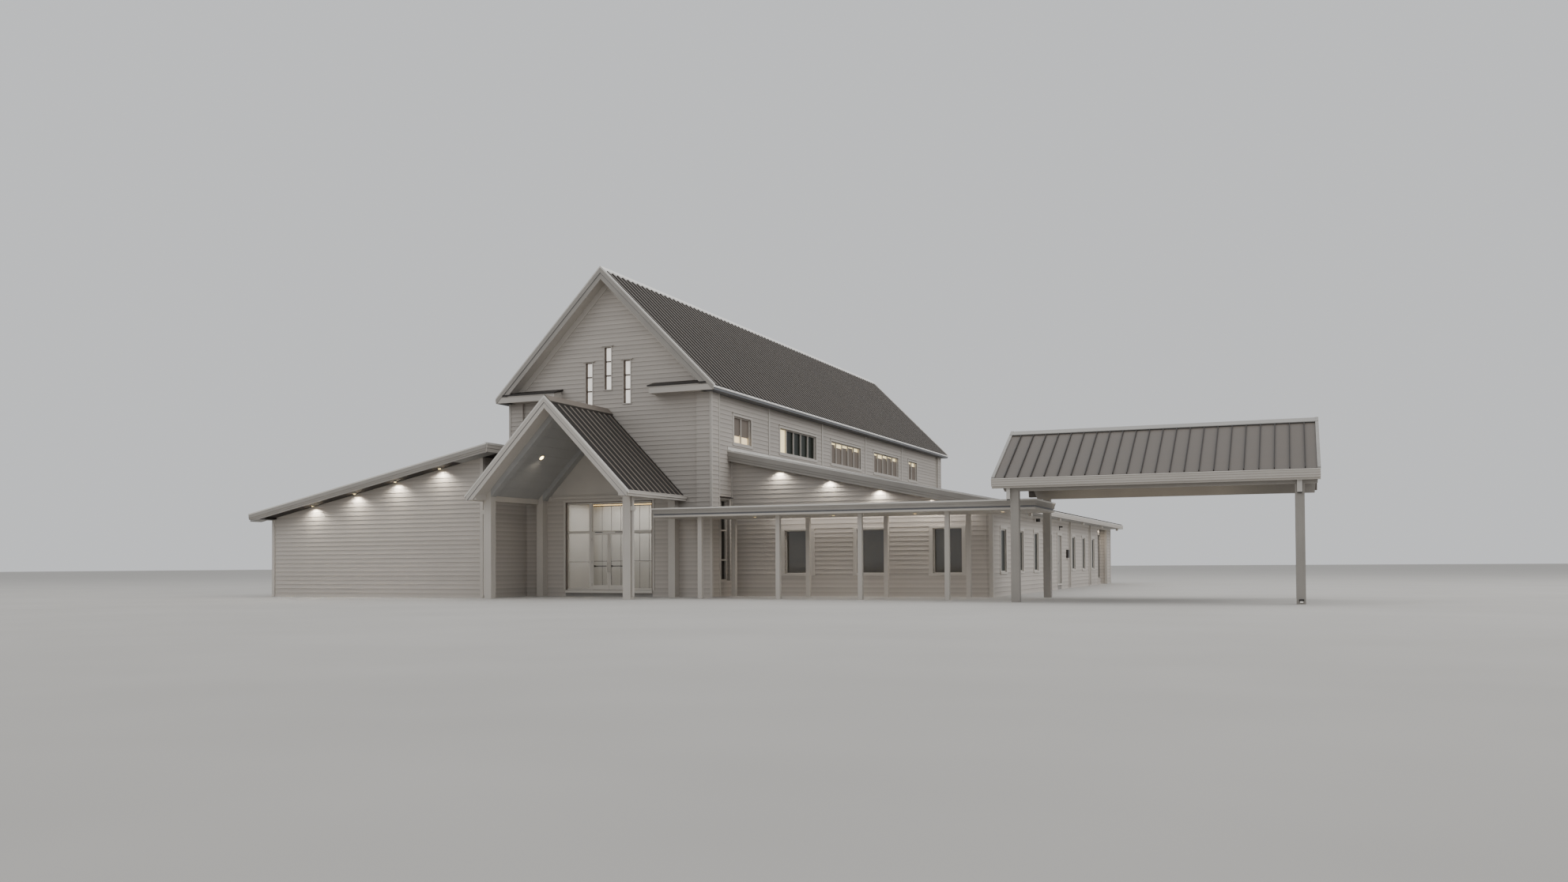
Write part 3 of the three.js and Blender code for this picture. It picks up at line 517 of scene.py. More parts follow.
def glazing(name, tint, transmission, roughness=0.02):
    """Float glass: mirrors the sky at low angles and shows the room straight on."""
    tree, shader, place = open_material(name)
    film = noise(tree, place, 1500, 3.0, seed=8.0)
    colour = tones(tree, film.outputs["Fac"], scaled(tint, 0.94), tint)
    tree.links.new(colour, shader.inputs["Base Color"])
    link_roughness(tree, shader, film.outputs["Fac"], roughness, roughness + 0.03)
    shader.inputs["Transmission Weight"].default_value = transmission
    shader.inputs["IOR"].default_value = 1.45
    return shader


def dull(maker):
    """The same finish among dark trees, where it reflects little."""
    def made_dull(*values):
        maker(*values).inputs["Specular IOR Level"].default_value = 0.1
    return made_dull


def glowing(name, colour, strength, weave):
    """Fabric or lens that glows by itself, brighter in patches; on blinds, curtains and shades the glow is painted
    light of a lit room.
    """
    tree, shader, place = open_material(name)
    cloth = noise(tree, place, weave, 3.0, (1, 1, 0.2), seed=4.0)
    tint = tones(tree, cloth.outputs["Fac"], scaled(colour, 0.82), colour)
    tree.links.new(tint, shader.inputs["Base Color"])
    tree.links.new(tint, shader.inputs["Emission Color"])
    shader.inputs["Emission Strength"].default_value = strength
    shader.inputs["Roughness"].default_value = 0.7


# Each finish: its maker, a colour of the panel (and how much of it) or a hex colour, then the maker's other values
FINISHES = {
    # Painted fibre cement boards, with painted shade under each lap
    "lap_siding": (lap_boards, "siding"),
    # Smooth acrylic paint on boards: even, with soft weathering
    "trim_paint": (painted, "trim", 0.6, 1400, 18, 0.8, 0.035),
    # The same paint drawn a shade darker on boards that stand in shade: painted shade, and a little duller
    "weathered_trim": (painted, ("trim", 0.64), 0.66, 900, 18, 0.8, 0.06),
    # Perforated steel under the nave's eaves, and the shadow lines of rakes and canopy: painted shade, bluer and darker
    # than the trim
    "grey_soffit": (painted, "#6f7073", 0.6, 300, 10, 0.3, 0.06),
    # Darker matt paint on the boards under the eaves
    "soffit_boards": (painted, "soffit", 0.7, 1200, 16, 0.8, 0.05),
    # Powder-coated aluminium: smooth, with a soft even gloss
    "coated_aluminium": (painted, "frames", 0.36, 700, 9, 0.3, 0.03),
    # Dark bronze coating of lamps and door hardware
    "dark_bronze": (painted, "#2c2825", 0.42, 300, 6, 0.2, 0.12),
    # Tan brown boards in the entrance reveals and on the gable sashes: painted shade of deep recesses
    "tan_liner": (painted, "#5f5146", 0.5, 400, 8, 0.3, 0.06),
    # Sprayed enamel on a steel leaf: satin, very flat
    "door_enamel": (painted, "door", 0.42, 900, 10, 0.4, 0.03),
    # Trowelled concrete: mottled, with fine pores
    "floor_slab_concrete": (painted, "floor", 0.82, 650, 14, 2.0, 0.12),
    # Painted wall panels, pale and even
    "lobby_panels": (painted, "#cdcac6", 0.55, 900, 20, 0.5, 0.03),
    # Roller shade cloth: flat grey with a fine weave
    "grey_shade_fabric": (painted, "#8d857d", 0.85, 800, 12, 0.6, 0.08, (1, 1, 0.3)),
    # A near-black sheet behind the glass: painted shade of a room that isn't lit
    "night_glazing": (dull(painted), "#1c211a", 0.3, 220, 8, 0.2, 0.5),
    # Dark coated steel of the pans between the ribs
    "coated_roof_steel": (sheet_steel, "roof", 0.56),
    # Ribs and folded caps, two-toned by painted light: pale tops as painted highlight, dark flanks as painted shade
    "rib_steel": (ribs_with_painted_light, "ribs", 0.5),
    # Dull brown coated steel of the carport's pans
    "carport_roof_steel": (sheet_steel, "carport", 0.48),
    # Bright folded edge strips of the same coated steel
    "roof_edge_steel": (sheet_steel, "edges", 0.42),
    # Folded steel on the carport's ridge and rakes, greyer than the other edges
    "dull_edge_steel": (sheet_steel, ("edges", 0.47), 0.46),
    # The nave's ridge cap and drip line, which catch the sky
    "bright_edge_steel": (sheet_steel, "bright", 0.4),
    # Clear float glass that lets the room show
    "clear_glazing": (glazing, "glass", 1.0),
    # Green glass tinted near black: painted shade of the dark room behind it
    "dark_glazing": (dull(glazing), "#141b15", 0.35),
    # Warm lamp lens, the brightest points of the picture
    "lamp_lens": (glowing, "#ffe2a0", 14.0, 40),
    # White blind of the gable windows that glows: painted light of the lit room
    "lit_blind": (glowing, "#efebe4", 0.95, 160),
    # Curtain that glows: painted light of a lamp behind it
    "warm_curtain": (glowing, "#dcc8a0", 1.7, 260),
    # Cream blind that glows brightly: painted light of the lit room
    "cream_blind": (glowing, "#f0e0ae", 1.5, 300),
    # Warm lamp strip along the top of a wall
    "cove_lamp": (glowing, "#ffd894", 2.4, 300),
    # Grey shade that glows faintly: painted light of the lit room behind it
    "lit_shade_fabric": (glowing, "#776d64", 0.14, 500),
}


def colour_of(source):
    """A hex colour, or a colour of the panel with an optional share of it, as linear light."""
    name, share = source if isinstance(source, tuple) else (source, 1.0)
    if name.startswith("#"):
        return linear(name)
    return scaled(getattr(group("church_colours"), name), share)


def material(finish):
    """The material of a finish, made when it is first asked for."""
    if finish not in bpy.data.materials:
        maker, source, *values = FINISHES[finish]
        maker(finish, colour_of(source), *values)
    return bpy.data.materials[finish]


class CHURCH_OT_finishes(bpy.types.Operator):
    """Gives every node of the frame its finish"""
    bl_idname = "church.finishes"
    bl_label = "Finishes of the frame"

    def execute(self, context):
        # Painted shade: these panes take the near-black green glass.
        dark = {"right_wing_side_glass_front", "right_wing_side_glass_back", "right_wing_recess_glass",
                "left_wing_side_glass"}
        for name, node in frame["nodes"].items():
            slot = node.data.materials[0].name.split(".")[0]
            finish = "dark_glazing" if name in dark else SLOT_FINISHES[slot][0]
            # Painted shade: the carport frames take the darker trim paint.
            if name in ("carport_front_frame", "carport_back_frame"):
                finish = "weathered_trim"
            node.data.materials.clear()
            node.data.materials.append(material(finish))
        return {"FINISHED"}


# ---- lap siding


def clad(node, name, normal, planes, keep=None, cuts=()):
    """Lap siding on the faces of a wall that look one way and lie in the given real planes.

    The sheet is also cut at the given real y, and keep tells by its centre whether a part of it stays.
    """
    sizes = group("church_cladding")
    out = Vector(normal)
    axis = max(range(3), key=lambda i: abs(normal[i]))
    places = [at(p, p, p)[axis] for p in planes]
    bpy.ops.object.select_all(action="DESELECT")
    source = frame["nodes"][node]
    source.select_set(True)
    bpy.context.view_layer.objects.active = source
    bpy.ops.object.duplicate()
    made = bpy.context.object
    made.name = name
    made.data.name = name
    for key in list(made.keys()):
        del made[key]
    bpy.ops.object.mode_set(mode="EDIT")
    bpy.ops.mesh.select_mode(type="VERT")
    bpy.ops.mesh.select_all(action="SELECT")
    bpy.ops.mesh.remove_doubles(threshold=1e-5)
    choose(made, "faces", lambda face: face.normal.dot(out) <= 0.99 or all(
        abs(face.calc_center_median()[axis] - p) >= 1e-4 for p in places))
    bpy.ops.mesh.delete(type="FACE")
    bpy.ops.mesh.select_all(action="SELECT")
    bpy.ops.mesh.dissolve_limited(angle_limit=0.01)
    for y in cuts:
        bpy.ops.mesh.select_all(action="SELECT")
        bpy.ops.mesh.bisect(plane_co=at(0, y, 0), plane_no=(0, 1, 0))
    heights = [v.co.z for v in bmesh.from_edit_mesh(made.data).verts]
    first = math.ceil(min(heights) / sizes.exposure + 0.02)
    last = math.floor(max(heights) / sizes.exposure - 0.02)
    for course in range(first, last + 1):
        bpy.ops.mesh.select_all(action="SELECT")
        bpy.ops.mesh.bisect(plane_co=(0, 0, course * sizes.exposure), plane_no=(0, 0, 1))
    split_courses(made, sizes.exposure)
    if keep:
        choose(made, "faces", lambda face: not keep(face.calc_center_median()))
        bpy.ops.mesh.delete(type="FACE")
    bpy.ops.mesh.select_all(action="SELECT")
    bpy.ops.mesh.extrude_region_move(TRANSFORM_OT_translate={"value": out * sizes.thin})
    select_lower_edges(made, sizes.exposure, out)
    bpy.ops.transform.translate(value=out * sizes.lap)
    complete(made, "lap_siding")


def split_courses(made, exposure):
    """Parts the sheet into boards along the course lines."""
    def on_course(edge):
        a, b = (v.co.z / exposure for v in edge.verts)
        return abs(a - b) < 1e-3 and abs(a - round(a)) < 1e-3 and len(edge.link_faces) == 2
    choose(made, "edges", on_course)
    bpy.ops.mesh.edge_split(type="EDGE")


def select_lower_edges(made, exposure, out):
    """Selects the outer corners on the lower edge of every board."""
    bpy.ops.mesh.select_mode(type="VERT")
    chosen = set()
    mesh = bmesh.from_edit_mesh(made.data)
    mesh.faces.ensure_lookup_table()
    for face in mesh.faces:
        if face.normal.dot(out) < 0.99 or not face.select:
            continue
        level = math.floor(face.calc_center_median().z / exposure) * exposure
        chosen.update(v for v in face.verts if abs(v.co.z - level) < 1e-4)
    bpy.ops.mesh.select_all(action="DESELECT")
    mesh = bmesh.from_edit_mesh(made.data)
    for vertex in chosen:
        vertex.select = True
    bmesh.update_edit_mesh(made.data)


class CHURCH_OT_siding(bpy.types.Operator):
    """Lays lap siding on every outer wall"""
    bl_idname = "church.siding"
    bl_label = "Lap siding"

    def execute(self, context):
        front, back, right, left = (0, -1, 0), (0, 1, 0), (1, 0, 0), (-1, 0, 0)
        behind = NAVE_LENGTH - WALL_FRONT_Y
        wing_line = mm(5400)
        clad("nave_front_gable_wall", "nave_front_siding", front, [WALL_FRONT_Y])
        clad("nave_front_wall_left", "entrance_siding_left", front, [WALL_FRONT_Y])
        clad("nave_front_wall_right", "entrance_siding_right", front, [WALL_FRONT_Y])
        clad("nave_back_wall", "nave_back_siding", back, [behind])
        for side, word, out in ((1, "right", right), (-1, "left", left)):
            wall = f"nave_{word}_wall"
            clad(wall, f"{wall}_siding", out, [side * NAVE_WALL_X, side * NAVE_PIER_X],
                 keep=lambda c: c.z > wing_line or c.y < at(0, RIGHT_FRONT, 0).y or c.y > at(0, WING_BACK, 0).y,
                 cuts=(RIGHT_FRONT, WING_BACK))
            clad(wall, f"nave_{word}_front_pier_siding", front, [0])
            clad(wall, f"nave_{word}_back_pier_siding", back, [NAVE_LENGTH])
        clad("left_wing_front_wall", "left_wing_front_siding", front, [LEFT_FRONT])
        clad("left_wing_front_wall", "left_wing_inner_siding", right, [LEFT_INNER_WALL_X])
        clad("left_wing_side_wall", "left_wing_side_siding", left, [LEFT_WALL_X])
        clad("left_wing_back_wall", "left_wing_back_siding", back, [WING_BACK])
        clad("right_wing_front_wall", "right_wing_front_siding", front, [RIGHT_FRONT])
        clad("right_wing_side_wall_front", "right_wing_side_siding_front", right, [RIGHT_WALL_X])
        clad("right_wing_side_wall_back", "right_wing_side_siding_back", right, [RIGHT_WALL_X])
        clad("right_wing_side_wall_back", "right_wing_recess_siding", right, [RIGHT_WALL_X - RECESS[2]])
        clad("right_wing_wall_over_door", "right_wing_siding_over_door", right, [RIGHT_WALL_X])
        clad("right_wing_back_wall", "right_wing_back_siding", back, [WING_BACK])
        return {"FINISHED"}


# ---- roof sheets


def rib_outline(width, top, height):
    """Half widths and height of a rib's section, from the sheet up."""
    return (-width / 2, 0), (width / 2, 0), (top / 2, height), (-top / 2, height)


def slope_rib(start_at, end_at, normal, across, width, top, height):
    """One rib from a real place down to another, its section across the slope."""
    corners = [tuple(start_at[i] + across[i] * a + normal[i] * h for i in range(3))
               for a, h in rib_outline(width, top, height)]
    prism(corners, tuple(end_at[i] - start_at[i] for i in range(3)))


def real(length):
    """A length of the model, as real millimetres."""
    return length * 1000 / MODEL_SCALE


def ribs(name, slopes, ends, finish, section, pitch, across=False):
    """Ribs down one or more slopes, repeated between two ends along the building, or across it."""
    first, last = ends
    count = int((last - first) / pitch)
    margin = (last - first - (count - 1) * pitch) / 2

    def turned(u, v, z):
        return (v, u, z) if across else (u, v, z)
    with piece(name, finish) as made:
        for (ua, za), (ub, zb) in slopes:
            run = math.copysign(math.hypot(ub - ua, zb - za), ub - ua)
            normal = turned(-(zb - za) / run, 0, (ub - ua) / run)
            slope_rib(turned(ua, first + margin, za), turned(ub, first + margin, zb), normal, turned(0, 1, 0), *section)
        repeat(made, turned(0, pitch, 0), count)


def roof_ribs(name, slopes, first, last):
    """The ribs of a sheet roof, at their own pitch along the building."""
    sizes = group("church_roofing")
    section = real(sizes.rib_base), real(sizes.rib_top), real(sizes.rib_height)
    ribs(name, slopes, (first, last), "rib_steel", section, real(sizes.pitch))


def ridge_cap(apex, slope, half, lift, thick=16, turned_down=45):
    """Outline of a folded ridge cap in its cross section, closed, from the left round to the right."""
    drop = slope * half
    top = [(-half, apex - drop + lift), (0, apex + lift), (half, apex - drop + lift)]
    low = [(half, apex - drop + lift - thick - turned_down), (half - thick, apex - drop + lift - thick - turned_down),
           (half - thick, apex - drop + lift - thick + slope * thick), (0, apex + lift - thick * 1.4)]
    left = [(-half + thick, apex - drop + lift - thick + slope * thick),
            (-half + thick, apex - drop + lift - thick - turned_down),
            (-half, apex - drop + lift - thick - turned_down)]
    return top + low + left


def ridge_closures(name, apex, slope, half, lift, y0, y1):
    """Dark foam closures that fill the gap between a ridge cap's edges and the pans."""
    with piece(name, "dark_bronze"):
        for side in (1, -1):
            x0, x1 = side * half, side * (half - 40)
            prism_y([(x0, apex - slope * half - 40), (x0, apex - slope * half + lift),
                     (x1, apex - slope * (half - 40) + lift), (x1, apex - slope * (half - 40) - 40)], y0, y1)


def rake_strip(apex_z, slope, half, top, drop, foot=0):
    """Outline of a bent strip along both rakes, from top over to drop under the roof; its feet may be cut level."""
    outer = min(half, (apex_z + top - foot) / slope)
    inner = min(half, (apex_z - drop - foot) / slope)
    side = [(outer, apex_z + top - slope * outer), (inner, apex_z - drop - slope * inner)]
    if inner < outer == half:
        side.insert(1, (half, foot))
    return [(0, apex_z + top)] + side + [(0, apex_z - drop)] + [(-x, z) for x, z in reversed(side)]


class CHURCH_OT_nave_roof(bpy.types.Operator):
    """Ribbed sheets, ridge cap, rake and eave strips of the nave roof"""
    bl_idname = "church.nave_roof"
    bl_label = "Nave roof"

    def execute(self, context):
        rib = real(group("church_roofing").rib_height)
        front, back = -NAVE_OVERHANG, NAVE_LENGTH + NAVE_OVERHANG
        slopes = [((side * 90, RIDGE - 90), (side * (EAVE_X - 12), EAVE_TOP + 12)) for side in (1, -1)]
        roof_ribs("nave_roof_ribs", slopes, front + 60, back - 60)
        lift = rib * 1.42 + 14
        with piece("nave_ridge_cap", "bright_edge_steel"):
            prism_y(ridge_cap(RIDGE, 1.0, 150, lift), front - 20, back + 20)
        ridge_closures("nave_ridge_closures", RIDGE, 1.0, 138, lift - 30, front + 70, back - 70)
        with piece("nave_rake_strips", "roof_edge_steel", 6):
            for y0, y1 in ((front - 38, front + 70), (back - 70, back + 38)):
                prism_y(rake_strip(RIDGE, 1.0, EAVE_X + 26, 92, 14), y0, y1)
        with piece("nave_eave_strips", "bright_edge_steel"):
            for side in (1, -1):
                prism_y([(side * (EAVE_X - 30), EAVE_TOP + 34), (side * (EAVE_X + 42), EAVE_TOP - 16),
                         (side * (EAVE_X + 42), EAVE_TOP - 60), (side * (EAVE_X + 30), EAVE_TOP - 68),
                         (side * EAVE_X, EAVE_TOP - 68), (side * EAVE_X, EAVE_TOP)], front - 36, back + 36)
        # Painted shade: the fascia under the drip strip is drawn in shade grey.
        with piece("nave_eave_fascias", "grey_soffit"):
            for side in (1, -1):
                prism_y([(side * (EAVE_X - 6), EAVE_TOP - 66), (side * (EAVE_X + 16), EAVE_TOP - 66),
                         (side * (EAVE_X + 10), EAVE_BOTTOM - 16), (side * (EAVE_X - 6), EAVE_BOTTOM - 16)],
                        front + 16, back - 16)
        return {"FINISHED"}


class CHURCH_OT_porch_roof(bpy.types.Operator):
    """Ribbed sheets, ridge cap, rake strips and eave fascias of the porch roof"""
    bl_idname = "church.porch_roof"
    bl_label = "Porch roof"

    def execute(self, context):
        rib = real(group("church_roofing").rib_height)
        lean = math.hypot(1, PORCH_SLOPE)
        skin = 26 * lean
        back = WALL_FRONT_Y - 22
        with piece("porch_roof_sheets", "coated_roof_steel"):
            for side in (1, -1):
                prism_y([(0, PORCH_RIDGE), (side * PORCH_HALF, PORCH_EAVE_TOP),
                         (side * (PORCH_HALF + 14), PORCH_EAVE_TOP - 14 * PORCH_SLOPE + skin), (0, PORCH_RIDGE + skin)],
                        PORCH_FRONT + 45, back)
        slopes = [((side * 262, PORCH_RIDGE + skin - 262 * PORCH_SLOPE),
                   (side * (PORCH_HALF + 8), PORCH_EAVE_TOP + skin - 8 * PORCH_SLOPE)) for side in (1, -1)]
        roof_ribs("porch_roof_ribs", slopes, PORCH_FRONT + 90, back - 20)
        lift = rib * lean + skin + 12
        with piece("porch_ridge_cap", "rib_steel"):
            prism_y(ridge_cap(PORCH_RIDGE, PORCH_SLOPE, 235, lift), PORCH_FRONT + 20, back)
        ridge_closures("porch_ridge_closures", PORCH_RIDGE, PORCH_SLOPE, 222, lift - 30, PORCH_FRONT + 64, back - 4)
        with piece("porch_rake_strip", "roof_edge_steel", 6):
            prism_y(rake_strip(PORCH_RIDGE, PORCH_SLOPE * 0.99, PORCH_HALF + 70, 92, 0),
                    PORCH_FRONT - 42, PORCH_FRONT + 60)
        self.ceiling()
        with piece("porch_eave_fascias", "trim_paint", 3):
            for side in (1, -1):
                edge = side * PORCH_HALF
                prism_y([(edge, PORCH_EAVE_TOP - 20), (edge + side * 50, PORCH_EAVE_TOP + 60),
                         (edge + side * 78, PORCH_EAVE_TOP + 94), (edge + side * 90, PORCH_EAVE_TOP + 88),
                         (edge + side * 90, PORCH_EAVE_TOP + 66), (edge + side * 76, PORCH_EAVE_TOP + 58),
                         (edge + side * 76, PORCH_EAVE_TOP - 30), (edge + side * 36, PORCH_EAVE_TOP - 44),
                         (edge + side * 36, PORCH_EAVE_BOTTOM - 14), (edge - side * 10, PORCH_EAVE_BOTTOM - 14),
                         (edge - side * 10, PORCH_EAVE_TOP - 60)], PORCH_FRONT + 4, back)
        return {"FINISHED"}

    def ceiling(self):
        """Boards under both slopes, and the casing of the V shaped beams."""
        reach, under = PORCH_INNER_X - 6, PORCH_RIDGE - PORCH_DROP
        count = 10
        width = reach / count
        with piece("porch_ceiling_boards", "soffit_boards"):
            for side in (1, -1):
                for i in range(count):
                    a, b = side * (i * width + 3), side * ((i + 1) * width - 3)
                    prism_y([(a, under - abs(a) * PORCH_SLOPE + 1), (b, under - abs(b) * PORCH_SLOPE + 1),
                             (b, under - abs(b) * PORCH_SLOPE - 16), (a, under - abs(a) * PORCH_SLOPE - 16)],
                            -3474, -256)
        with piece("porch_beam_casings", "soffit_boards", 4):
            for y0, y1 in ((-3782, -3458), (-272, 90)):
                prism_y(rake_strip(PORCH_RIDGE, PORCH_SLOPE, 2912, 2 - PORCH_DROP, PORCH_RIB_DROP + 14), y0, y1)


class CHURCH_OT_wing_roofs(bpy.types.Operator):
    """Ribbed sheets, edge strips and stepped fascias of both wing roofs"""
    bl_idname = "church.wing_roofs"
    bl_label = "Wing roofs"

    def execute(self, context):
        right = ((NAVE_WALL_X + 40, right_roof(NAVE_WALL_X + 40)), (RIGHT_EAVE_X, right_roof(RIGHT_EAVE_X)))
        left = ((-NAVE_WALL_X - 40, left_roof(-NAVE_WALL_X - 40)), (LEFT_EAVE_X, left_roof(LEFT_EAVE_X)))
        near_left = ((LEFT_HIGH_X - 40, left_roof(LEFT_HIGH_X - 40)), (LEFT_EAVE_X, left_roof(LEFT_EAVE_X)))
        pier = NAVE_LENGTH - PIER_DEPTH
        low_right = ((NAVE_PIER_X + 60, right_roof(NAVE_PIER_X + 60)), right[1])
        low_left = ((-NAVE_PIER_X - 60, left_roof(-NAVE_PIER_X - 60)), left[1])
        roof_ribs("right_wing_roof_ribs", [right], RIGHT_ROOF_FRONT + 60, pier)
        roof_ribs("right_wing_roof_ribs_back", [low_right], pier + 120, WING_ROOF_BACK - 60)
        roof_ribs("left_wing_roof_ribs_front", [near_left], LEFT_ROOF_FRONT + 60, -60)
        roof_ribs("left_wing_roof_ribs_pier", [low_left], 0, PIER_DEPTH)
        roof_ribs("left_wing_roof_ribs", [left], PIER_DEPTH + 100, pier)
        roof_ribs("left_wing_roof_ribs_back", [low_left], pier + 120, WING_ROOF_BACK - 60)
        self.rake("right_wing", right_roof, NAVE_WALL_X + 4, RIGHT_EAVE_X, RIGHT_ROOF_FRONT, -1, 80)
        self.rake("right_wing_back", right_roof, NAVE_WALL_X + 110, RIGHT_EAVE_X, WING_ROOF_BACK, 1)
        self.rake("left_wing", left_roof, LEFT_HIGH_X, LEFT_EAVE_X, LEFT_ROOF_FRONT, -1)
        self.rake("left_wing_back", left_roof, -NAVE_WALL_X - 110, LEFT_EAVE_X, WING_ROOF_BACK, 1)
        self.eave("right_wing", right_roof(RIGHT_EAVE_X), RIGHT_EAVE_X, 1, RIGHT_ROOF_FRONT, WING_ROOF_BACK)
        self.eave("left_wing", left_roof(LEFT_EAVE_X), LEFT_EAVE_X, -1, LEFT_ROOF_FRONT, WING_ROOF_BACK)
        self.high_end()
        self.flashings()
        self.soffits()
        return {"FINISHED"}

    def soffits(self):
        """Boards under the front overhangs and the side eaves."""
        with piece("wing_soffits", "soffit_boards", 2):
            for roof, x0, x1, y0, y1, deeper in (
                    (right_roof, NAVE_WALL_X + 6, RIGHT_WALL_X, RIGHT_ROOF_FRONT + 4, RIGHT_FRONT + 2, 80),
                    (left_roof, LEFT_HIGH_X - 4, LEFT_EAVE_X + 4, LEFT_ROOF_FRONT + 4, LEFT_FRONT + 2, 13)):
                low = -WING_DROP - deeper
                prism_y([(x0, roof(x0) - WING_DROP + 1), (x1, roof(x1) - WING_DROP + 1),
                         (x1, max(roof(x1) + low, WING_SOFFIT - 12)), (x0, roof(x0) + low)], y0, y1)
            for side, face, edge, y0 in ((1, RIGHT_WALL_X, RIGHT_EAVE_X, RIGHT_FRONT),
                                         (-1, LEFT_WALL_X, LEFT_EAVE_X, LEFT_FRONT)):
                block((face, edge - side * 3), (y0, WING_ROOF_BACK - 4), (WING_SOFFIT - 12, WING_SOFFIT + 1))

    def rake(self, name, roof, x0, x1, y, out, deeper=0):
        """Boards in steps and a steel strip along a sloping edge."""
        outward = 1 if x1 > x0 else -1
        far = x1 + outward * 30
        low = -WING_DROP - deeper
        boards = ((20, low * 0.5, 0, 54), (low * 0.5 + 20, low * 0.74, 0, 34), (low * 0.74 + 20, low - 6, 0, 14))
        # Painted shade: the rake boards are drawn in the darker trim paint.
        with piece(f"{name}_rake_boards", "weathered_trim", 3):
            for top, bottom, inner, outer in boards:
                foot = max(roof(far) + bottom, WING_SOFFIT - 14)
                level = x0 + (roof(x0) + bottom - foot) / WING_SLOPE * outward
                under = [(far, foot), (level, foot)] if abs(level - x0) < abs(far - x0) else [(far, foot)]
                prism_y([(x0, roof(x0) + top), (far, roof(far) + top), *under, (x0, roof(x0) + bottom)],
                        y + out * inner, y + out * outer)
        tip = x1 + outward * 44
        with piece(f"{name}_rake_strip", "roof_edge_steel", 4):
            prism_y([(x0, roof(x0) + 46), (tip, roof(tip) + 46), (tip, roof(tip) - 12), (x0, roof(x0) - 12)],
                    y - out * 60, y + out * 56)

    def eave(self, name, top, x, out, y0, y1):
        """A fascia in two steps with an edge strip, along the low edge."""
        with piece(f"{name}_eave_boards", "trim_paint", 3):
            prism_y([(x, top - 4), (x + out * 36, top - 12), (x + out * 36, top - 140), (x + out * 18, top - 150),
                     (x + out * 18, WING_SOFFIT - 8), (x, WING_SOFFIT - 8)], y0 - 20, y1 + 20)
        with piece(f"{name}_eave_strip", "roof_edge_steel"):
            prism_y([(x - out * 70, top + 22), (x + out * 52, top + 2), (x + out * 52, top - 44),
                     (x + out * 36, top - 44), (x + out * 36, top - 4), (x - out * 70, top + 12)], y0 - 40, y1 + 40)

    def high_end(self):
        """The left wing roof's high end, in front of the nave."""
        x, top = LEFT_HIGH_X, LEFT_HIGH_Z
        with piece("left_wing_high_end_boards", "trim_paint", 3):
            prism_y([(x, top + 14), (x + 40, top + 14), (x + 40, top - 150), (x + 22, top - 160),
                     (x + 22, top - WING_DROP - 6), (x, top - WING_DROP - 6)], LEFT_ROOF_FRONT - 40, WALL_FRONT_Y - 14)
        with piece("left_wing_high_end_strip", "roof_edge_steel"):
            prism_y([(x - 90, top + 84), (x + 58, top + 60), (x + 58, top - 20), (x + 40, top - 20), (x + 40, top + 46),
                     (x - 90, top + 66)], LEFT_ROOF_FRONT - 56, WALL_FRONT_Y - 14)

    def flashings(self):
        """Folded steel where the wing roofs meet the nave walls."""
        with piece("wing_roof_flashings", "roof_edge_steel"):
            for side, roof, y0 in ((1, right_roof, RIGHT_ROOF_FRONT - 50), (-1, left_roof, PIER_DEPTH)):
                x = side * (NAVE_WALL_X + 20)
                z = roof(side * (NAVE_WALL_X + 20))
                prism_y([(x, z + 190), (x + side * 16, z + 186), (x + side * 22, z + 74), (x + side * 170, z + 38),
                         (x + side * 170, z + 10), (x, z + 40)], y0, NAVE_LENGTH - PIER_DEPTH)


